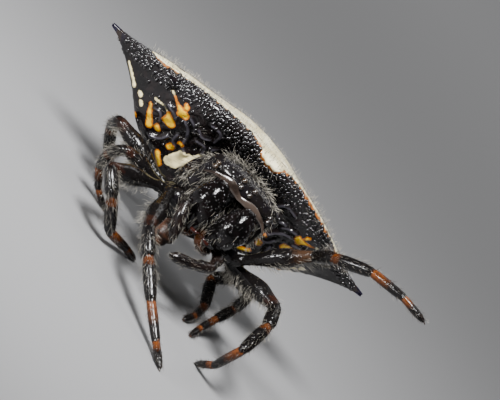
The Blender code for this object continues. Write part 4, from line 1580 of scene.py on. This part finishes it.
@dataclass
class Head:
    """Carapace, hip stubs, mouth plates, jaws, fangs, feelers, eyes and the fringe of hair."""

    effects: Effects
    # Top, underside and half width of the trunk at places from the face to the waist
    head_y: tuple[float, ...] = (-0.08, 0.1, 0.42, 0.75, 1.05, 1.6, 2.2, 2.85, 3.35, 3.6)
    head_top: tuple[float, ...] = (0.3, 0.55, 0.76, 0.86, 0.9, 0.84, 0.58, 0.08, -0.5, -0.8)
    head_below: tuple[float, ...] = (
        -0.05, -0.12, -0.14, -1.2, -2.25, -2.35, -2.35, -2.3, -2.1, -1.6,
    )
    head_half: tuple[float, ...] = (1.25, 1.6, 1.78, 1.82, 1.84, 1.95, 2.1, 1.9, 1.35, 0.7)
    jaw_half: float = 0.71
    jaw_deep: float = 0.76
    jaw_drop: float = 2.3
    jaw_granules: int = 150
    lip_half: float = 1.72
    # The pale lip of the face: distance from the middle, height
    lip_x: tuple[float, ...] = (-1.72, -1.3, -0.6, -0.2, 0.0, 0.25, 0.7, 1.3, 1.72)
    lip_z: tuple[float, ...] = (-0.4, -0.14, -0.02, -0.1, -0.14, -0.11, -0.05, -0.15, -0.42)
    # Centre and radius of the eyes of one side
    eyes: tuple[tuple[float, float, float, float], ...] = (
        (0.24, -0.1, 0.2, 0.13), (0.3, 0.02, 0.47, 0.12),
        (1.52, 0.06, 0.02, 0.12), (1.5, 0.14, 0.2, 0.11),
    )
    # Corners of the feelers' middle lines
    feelers: dict[Side, tuple[Point, ...]] = field(
        default_factory=lambda: {
            Side.LEFT: (
                (0.9, 0.5, -2.1), (1.32, 0.2, -2.36), (1.25, -0.38, -2.82),
                (0.46, -1.0, -3.25), (-0.38, -1.46, -3.56),
            ),
            Side.RIGHT: (
                (-0.5, 0.4, -2.4), (-0.88, -0.2, -2.84), (-1.46, -1.24, -1.76),
                (-1.24, -1.42, -2.3), (-0.8, -1.4, -3.12),
            ),
        }
    )

    def trunk_grid(self) -> Array:
        """Rings across the trunk: a dome of top height over a keel, bowed back towards the sides.

        Above its edge a ring goes by |cos|^0.75 across and |sin|^0.8 up, below it by |cos|^1.15
        and the sine. The first and last rings shrink to close it, and a bell curve in x and y
        sinks the dip in the middle and the groove at each side.

        Returns:
            Points by ring and place round it.
        """
        front = np.array([-0.12, -0.118, -0.112, -0.1, -0.085, -0.06, -0.02])
        y = np.concatenate([front, np.linspace(0.03, 3.35, 90), [3.45, 3.52, 3.57, 3.6]])
        early, late = [0.05, 0.35, 0.65, 0.86, 0.95], [0.95, 0.8, 0.5, 0.2]
        shrink = np.concatenate([early, np.ones(len(y) - 9), late])
        profiles = (self.head_top, self.head_below, self.head_half)
        top, below, half = (hermite(self.head_y, given, y) for given in profiles)
        centre = (top + below) / 2 - 0.05
        edge = np.where(y > 0.6, np.maximum(below + 0.12, -1.15), centre)
        share = np.interp(y, [0.35, 0.85], [0, 1])
        edge = share * edge + (1 - share) * centre
        a = np.linspace(0, 2 * math.pi, 140, endpoint=False)
        c, s = np.cos(a), np.sin(a)
        upper = s >= 0
        x = half[:, None] * np.where(
            upper, np.sign(c) * np.abs(c) ** 0.75, 0.93 * np.sign(c) * np.abs(c) ** 1.15
        )
        dome = (top - edge)[:, None] * np.abs(s) ** 0.8
        rise = np.where(upper, dome, (edge - below)[:, None] * s)
        middle = ((top + below) / 2)[:, None]
        z = edge[:, None] + rise
        x = x * shrink[:, None]
        z = middle + (z - middle) * shrink[:, None]
        back = 0.06 * x**2 * smoothstep(1.6, 0.0, y)[:, None]
        dip = 0.12 * bump(x, 0.0, 0.35) * bump(y[:, None], 2.3, 0.5) * (z > 0)
        groove = 0.06 * bump(np.abs(x), 1.15, 0.16) * bump(y[:, None], 1.9, 0.6) * (z > 0)
        return np.stack([x * 0.985, y[:, None] + back, z * 0.99 - dip - groove], -1)

    def build(self) -> None:
        """Makes every piece of the head."""
        shell = Finish(
            "carapace_black", (0.005, 0.004, 0.005), (0.005, 0.004, 0.0035),
            roughness=0.16, grain=6.0, relief=0.014, specular=0.28,
        ).build(self.effects)
        grid = self.trunk_grid()
        skin = Surface("trunk_skin")
        skin.add_grid(STANCE.head(grid))
        for plan in LEG_PLANS:
            skin.add_grid(self.hip_grid(plan))
        s = np.linspace(0, 1, 20)
        waist = np.stack([0 * s, 3.0 + 0.75 * s, -1.1 + 0.12 * s], -1)
        narrow = hermite((0, 0.5, 1), (0.44, 0.26, 0.3), s)
        skin.add_grid(tube_grid(STANCE.head(waist), narrow, 24))
        skin.build(shell, Slot.SHELL, ("cephalothorax",))
        y, z = grid[..., 1], grid[..., 2]
        face = smoothstep(1.9, 1.2, y) * smoothstep(-0.6, -0.2, z) * smoothstep(-0.1, 0.02, y)
        roots = thinned(scatter(grid, 900, face + LEAST, 71), 0.2, 72)
        warts = Surface("head_granules")
        size = np.random.default_rng(73).uniform(0.02, 0.045, len(roots.points))
        add_domes(warts, roots, size, 0.7, STANCE.head)
        warts.build(shell, Slot.SHELL)
        self.add_lip()
        self.add_mouth()
        self.add_jaws()
        self.add_eyes()
        self.add_feelers()
        self.add_fringe(grid)

    def hip_grid(self, plan: LegPlan) -> Array:
        """The hip stub of one leg: a tube swollen in its middle and drawn in at the joint.

        Args:
            plan: The leg.

        Returns:
            Points by ring and side.
        """
        root, hip = plan.hip_root(), plan.hip()
        s = np.linspace(0, 1, 24)
        way = hip - root
        line = root + s[:, None] * way * 0.93
        radius = hermite((0, 0.45, 0.75, 0.92, 1), (0.38, 0.4, 0.38, 0.31, 0.22), s)
        return tube_grid(STANCE.head(line), radius, 24)

    def add_lip(self) -> None:
        """The pale horny lip that edges the face: a squeezed tube bowed back by a square of x."""
        x = np.linspace(-self.lip_half, self.lip_half, 140)
        z = hermite(self.lip_x, self.lip_z, x)
        y = -0.22 + 0.05 * x**2 + 0.03 * bump(x, 0, 0.2)
        path = np.stack([x, y, z], -1)
        knots = (-1.72, -1.2, -0.6, 0, 0.65, 1.2, 1.72)
        radius = hermite(knots, (0.03, 0.1, 0.22, 0.12, 0.17, 0.11, 0.03), x)
        lip = Surface("face_lip")
        lip.add_grid(flattened(STANCE.head(path), radius, 0.4))
        finish = Finish(
            "horn_lip", (0.01, 0.0065, 0.005), (0.04, 0.029, 0.023),
            roughness=0.16, grain=5.0, relief=0.006, coat=0.5,
        )
        lip.build(finish.build(self.effects), Slot.SHELL)

    def add_mouth(self) -> None:
        """The two mouth plates, as flat tubes on straight lines, with a pale brush at the end."""
        plates = Surface("mouth_plates")
        coat = Surface("mouth_brush", HAIR_FIELDS)
        for sign in (-1, 1):
            s = np.linspace(0, 1, 26)
            line = np.stack([sign * (0.4 + 0.18 * s), 1.1 - 0.85 * s, -2.2 - 0.3 * s], -1)
            radius = hermite((0, 0.5, 0.8, 1), (0.38, 0.46, 0.44, 0.3), s)
            grid = tube_grid(STANCE.head(line), radius, 28, flat=0.7)
            plates.add_grid(grid)
            rows = np.linspace(0, 1, grid.shape[0])[:, None]
            edge = smoothstep(0.6, 0.85, rows) + LEAST
            roots = scatter(grid, 150, edge, 31 + sign).tiled(sign > 0, 2)
            lie = np.tile(-STANCE.axes()[1], (150, 1))
            Hair(0.16, 0.02, lift=0.6, bend=0.2, seed=32 + sign).add_to(coat, roots, lie)
        finish = Finish(
            "mouth_orange", (0.035, 0.011, 0.004), (0.15, 0.052, 0.014),
            roughness=0.25, grain=5.0, relief=0.01,
        )
        plates.build(finish.build(self.effects), Slot.SHELL)
        coat.build(pale_hair().build(self.effects), Slot.SHELL)

    def jaw_grid(self, sign: int) -> Array:
        """One jaw: an upright egg, fullest above its middle, drawn in towards the fang.

        Each ring is an ellipse whose size follows the root of a sine down the jaw, flatter on its
        inner side.

        Args:
            sign: 1 on the spider's left, -1 on its right.

        Returns:
            Points by ring and side.
        """
        t = np.linspace(0, 1, 70)
        z = -0.1 - self.jaw_drop * t
        swell = np.sin(math.pi * np.clip(0.02 + 0.86 * t, 0, 1)) ** 0.5
        swell *= np.sqrt(np.maximum(1 - t**6, 0.01))
        half, deep = self.jaw_half * swell, self.jaw_deep * swell * (1 - 0.12 * t)
        a = np.linspace(0, 2 * math.pi, 64, endpoint=False)
        inner = 1 - 0.1 * (np.cos(a) * sign < 0)
        x = sign * (0.76 - 0.26 * t**2.5)[:, None] + half[:, None] * np.cos(a) * inner
        y = (-0.22 + 0.1 * t)[:, None] + deep[:, None] * np.sin(a)
        return np.stack([x, y, np.repeat(z[:, None], len(a), 1)], -1)

    def add_jaws(self) -> None:
        """The two polished jaws, and the reddish fangs as thin tubes that curve to the middle."""
        polish = Finish(
            "jaw_polish", (0.0012, 0.001, 0.001), (0.003, 0.002, 0.002),
            roughness=0.1, grain=9.0, relief=0.005, specular=0.26,
        ).build(self.effects)
        red = Finish(
            "fang_red", (0.006, 0.0015, 0.001), (0.028, 0.005, 0.003),
            roughness=0.2, grain=6.0, relief=0.004,
        ).build(self.effects)
        fangs = Surface("fangs")
        specks = Surface("jaw_granules")
        coat = Surface("jaw_hair", HAIR_FIELDS)
        axes = STANCE.axes()
        for side in Side:
            sign = side.sign
            grid = self.jaw_grid(sign)
            jaw = Surface("jaw_" + side.value)
            jaw.add_grid(STANCE.head(grid))
            jaw.build(polish, Slot.JAWS, ("chelicera_" + side.value,))
            s = np.linspace(0, 1, 18)
            across, forth = sign * (0.42 - 0.36 * s**0.8), -0.5 - 0.12 * np.sin(math.pi * s)
            line = np.stack([across, forth, -2.3 + 0.14 * s**2], -1)
            fangs.add_grid(tube_grid(STANCE.head(line), 0.085 * (1 - 0.8 * s), 16))
            beads = scatter(grid, self.jaw_granules, (grid[..., 1] < 0) + LEAST, 44 + sign)
            draw = np.random.default_rng(45 + sign)
            size = draw.uniform(0.026, 0.042, self.jaw_granules)
            add_domes(specks, beads, size, 0.8, STANCE.head)
            lower = smoothstep(-1.3, -1.9, grid[..., 2]) * (grid[..., 0] * sign < 0.75) + 0.02
            roots = scatter(grid, 45, lower, 41 + sign).tiled(sign > 0, 2)
            hair = Hair(0.24, 0.015, lift=0.5, bend=0.4, seed=42 + sign)
            hair.add_to(coat, roots.carried(STANCE.head, axes), np.tile(-axes[2], (45, 1)))
        fangs.build(red, Slot.JAWS)
        specks.build(granule_gloss().build(self.effects), Slot.JAWS)
        coat.build(pale_hair().build(self.effects), Slot.JAWS)

    def add_eyes(self) -> None:
        """Eight glossy eyes, four in the middle and a pair at each side, as balls of rings."""
        eyes = Surface("eyes")
        b = np.linspace(-90, 90, 18) * math.pi / 180
        a = np.linspace(0, 2 * math.pi, 24, endpoint=False)
        for sign in (-1, 1):
            for x, y, z, r in self.eyes:
                ball = np.stack(
                    [
                        sign * x + r * np.cos(b)[:, None] * np.cos(a),
                        y + 0 * a + r * np.sin(b)[:, None],
                        z + r * np.cos(b)[:, None] * np.sin(a),
                    ],
                    -1,
                )
                eyes.add_grid(STANCE.head(ball))
        finish = Finish(
            "eye_gloss", (0.01, 0.008, 0.008), (0.03, 0.02, 0.012),
            roughness=0.04, grain=3.0, relief=0.0, coat=1.0, coat_roughness=0.02,
        )
        eyes.build(finish.build(self.effects), Slot.SHELL)

    def add_feelers(self) -> None:
        """The two short hairy feelers beside the mouth, as tubes along rounded lines."""
        finish = Finish(
            "feeler_shell", (0.004, 0.003, 0.003), (0.01, 0.006, 0.005),
            roughness=0.2, grain=9.0, relief=0.015, specular=0.32,
        )
        dressed = finish.build(self.effects)
        coat = Surface("feeler_hair", HAIR_FIELDS)
        knots = (0, 0.2, 0.27, 0.45, 0.55, 0.62, 0.8, 0.93, 1)
        widths = (0.2, 0.25, 0.2, 0.23, 0.25, 0.2, 0.24, 0.22, 0.12)
        for k, (side, given) in enumerate(self.feelers.items()):
            corners = np.array(given)
            path = rounded(corners, np.arange(len(corners)), 400, 0.16, 0.0)[0][::5]
            radius = hermite(knots, widths, np.linspace(0, 1, len(path)))
            grid = tube_grid(STANCE.head(path), radius, 24)
            palp = Surface("feeler_" + side.value)
            palp.add_grid(grid)
            palp.build(dressed, Slot.LEGS, ("pedipalp_" + side.value,))
            roots = scatter(grid, 220, 1.0, 55 + k).tiled(side is Side.LEFT, 2)
            hair = Hair(0.22, 0.012, lift=0.5, bend=0.35, seed=56 + k)
            hair.add_to(coat, roots, roots.along)
        coat.build(pale_hair().build(self.effects), Slot.LEGS)

    def add_fringe(self, grid: Array) -> None:
        """The dense fringe of pale hairs over the crown and the sides of the head, lying forwards.

        Args:
            grid: Points of the trunk.
        """
        coat = Surface("head_fringe", HAIR_FIELDS)
        axes = STANCE.axes()
        away, y, z = np.abs(grid[..., 0]), grid[..., 1], grid[..., 2]
        crown = smoothstep(0.26, 0.45, y) * smoothstep(1.9, 1.2, y) * (z > -1.2)
        crown = crown * (1 - 0.85 * smoothstep(1.2, 1.6, away) * (y < 0.9))
        belt = smoothstep(0.7, 0.95, y) * smoothstep(1.6, 1.0, y)
        sides = 0.6 * (away > 1.2) * belt * (z > -0.8) * (z < 0.6)
        front = smoothstep(0.1, 0.3, y) * smoothstep(0.5, 0.3, y) * (z > 0.2) * 0.15
        nape = smoothstep(1.6, 2.2, y) * (z > -1.6)
        long = Hair(0.34, 0.021, lift=0.66, bend=0.8, spread=0.4, seed=61)
        for count, density, hair, seed in (
            (850, np.maximum(crown, sides), long, 62),
            (70, front, Hair(0.16, 0.014, lift=0.5, bend=0.5, seed=63), 64),
            (600, nape, Hair(0.2, 0.014, lift=0.6, bend=0.4, seed=65), 66),
        ):
            roots = scatter(grid, count, density + LEAST, seed)
            lie = -axes[1] * 0.8 + np.sign(roots.points[:, :1]) * axes[0] * 0.2 - axes[2] * 0.5
            hair.add_to(coat, roots.carried(STANCE.head, axes), lie)
        coat.build(pale_hair().build(self.effects), Slot.SHELL)


# Floor, light and camera


@dataclass(frozen=True)
class Studio:
    """A pale floor, soft lights and the camera at the photograph's angle."""

    head_turn: float = 10.0
    image_turn: float = 47.4
    distance: float = 120.0
    lens: float = 221.2
    aim: tuple[float, float] = (0.382, 0.126)
    floor_reach: float = 1500.0
    floor_tint: Colour = (0.25, 0.25, 0.255)
    sky: Colour = (0.8, 0.82, 0.85)

    def view_axes(self) -> Array:
        """Directions of the picture in the world.

        Returns:
            Picture right, picture up, towards the camera, and the head's across and up, as rows.
        """
        left, rear, up = STANCE.axes()
        turn, roll = math.radians(self.head_turn), math.radians(self.image_turn)
        across = math.cos(turn) * left - math.sin(turn) * rear
        away = math.sin(turn) * left + math.cos(turn) * rear
        right = math.cos(roll) * across + math.sin(roll) * up
        top = -math.sin(roll) * across + math.cos(roll) * up
        return np.array([right, top, -away, across, up])

    def build(self) -> None:
        """Makes the floor, the lights, the sky and the camera."""
        self.add_floor()
        right, top, back, across, up = self.view_axes()
        target = STANCE.head(np.zeros(3)) + across * self.aim[0] + up * self.aim[1]
        made = bpy.data.cameras.new("camera")
        made.lens, made.sensor_width = self.lens, 36.0
        made.clip_start, made.clip_end = 0.005, 10.0
        place = target + back * self.distance
        bpy.context.scene.camera = self.put("camera", made, (right, top, back), place)
        centre = STANCE.abdomen(np.array([0.0, 3.0, 0.0]))
        behind = np.array([0.0, 170.0, 0.0])
        for name, seen, way, distance, size, power, spread in (
            ("key_light", centre, 0.4 * right + 0.55 * top + 0.75 * back, 70, 22, 0.0215, 74),
            ("side_light", centre, -0.45 * right + 0.5 * top + 0.75 * back, 70, 12, 0.0086, 74),
            ("top_light", centre, np.array([-0.35, -0.8, 0.9]), 70, 13, 0.0072, 80),
            ("back_light", behind, np.array([0.0, 0.0, 1.0]), 200, 200, 0.2, 110),
        ):
            self.add_light(name, seen, way, distance, size, power, spread)
        world = bpy.data.worlds.new("studio")
        world.use_nodes = True
        background = world.node_tree.nodes["Background"]
        background.inputs["Color"].default_value = (*self.sky, 1)
        background.inputs["Strength"].default_value = 0.04
        bpy.context.scene.world = world

    def put(
        self, name: str, data: bpy.types.ID, axes: tuple[Array, Array, Array], place: Array
    ) -> bpy.types.Object:
        """Puts a light or the camera into the scene.

        Args:
            name: Its name.
            data: Its data.
            axes: Its three directions in the world.
            place: Its place in millimetres.

        Returns:
            The object.
        """
        made = bpy.data.objects.new(name, data)
        matrix = np.eye(4)
        matrix[:3, :3] = np.array(axes).T
        matrix[:3, 3] = place * MM
        made.matrix_world = [list(row) for row in matrix.T]
        bpy.context.scene.collection.objects.link(made)
        return made

    def add_light(
        self,
        name: str,
        centre: Array,
        way: Array,
        distance: float,
        size: float,
        power: float,
        spread: float,
    ) -> None:
        """A square soft light that faces the centre.

        Args:
            name: Name of the light.
            centre: Point that the light faces.
            way: Direction from that point to the light.
            distance: Distance from the point in millimetres.
            size: Side of the square in millimetres.
            power: Power in watts.
            spread: Width of its beam in degrees.
        """
        way = unit(way)
        data = bpy.data.lights.new(name, "AREA")
        data.size, data.energy, data.spread = size * MM, power, math.radians(spread)
        side = unit(np.cross((0, 0, 1.0) if abs(way[2]) < 0.9 else (1.0, 0, 0), way))
        self.put(name, data, (side, np.cross(way, side), way), centre + way * distance)

    def add_floor(self) -> None:
        """A broad pale floor."""
        mesh = bpy.data.meshes.new("floor")
        r = self.floor_reach * MM
        corners = [(-r, -r, 0), (r, -r, 0), (r, r, 0), (-r, r, 0)]
        mesh.from_pydata(corners, [], [(0, 1, 2, 3)])
        made = bpy.data.materials.new("floor_paint")
        made.use_nodes = True
        shader = made.node_tree.nodes["Principled BSDF"]
        shader.inputs["Base Color"].default_value = (*self.floor_tint, 1)
        shader.inputs["Roughness"].default_value = 0.85
        mesh.materials.append(made)
        floor = bpy.data.objects.new("floor", mesh)
        bpy.context.scene.collection.objects.link(floor)


def main() -> None:
    """Builds the spider and the studio."""
    effects = Effects()
    for part in (Abdomen(effects), Legs(effects), Head(effects), Studio()):
        part.build()
        LOG.info("%s is done", type(part).__name__)
    bpy.context.view_layer.update()


if __name__ == "__main__":
    main()
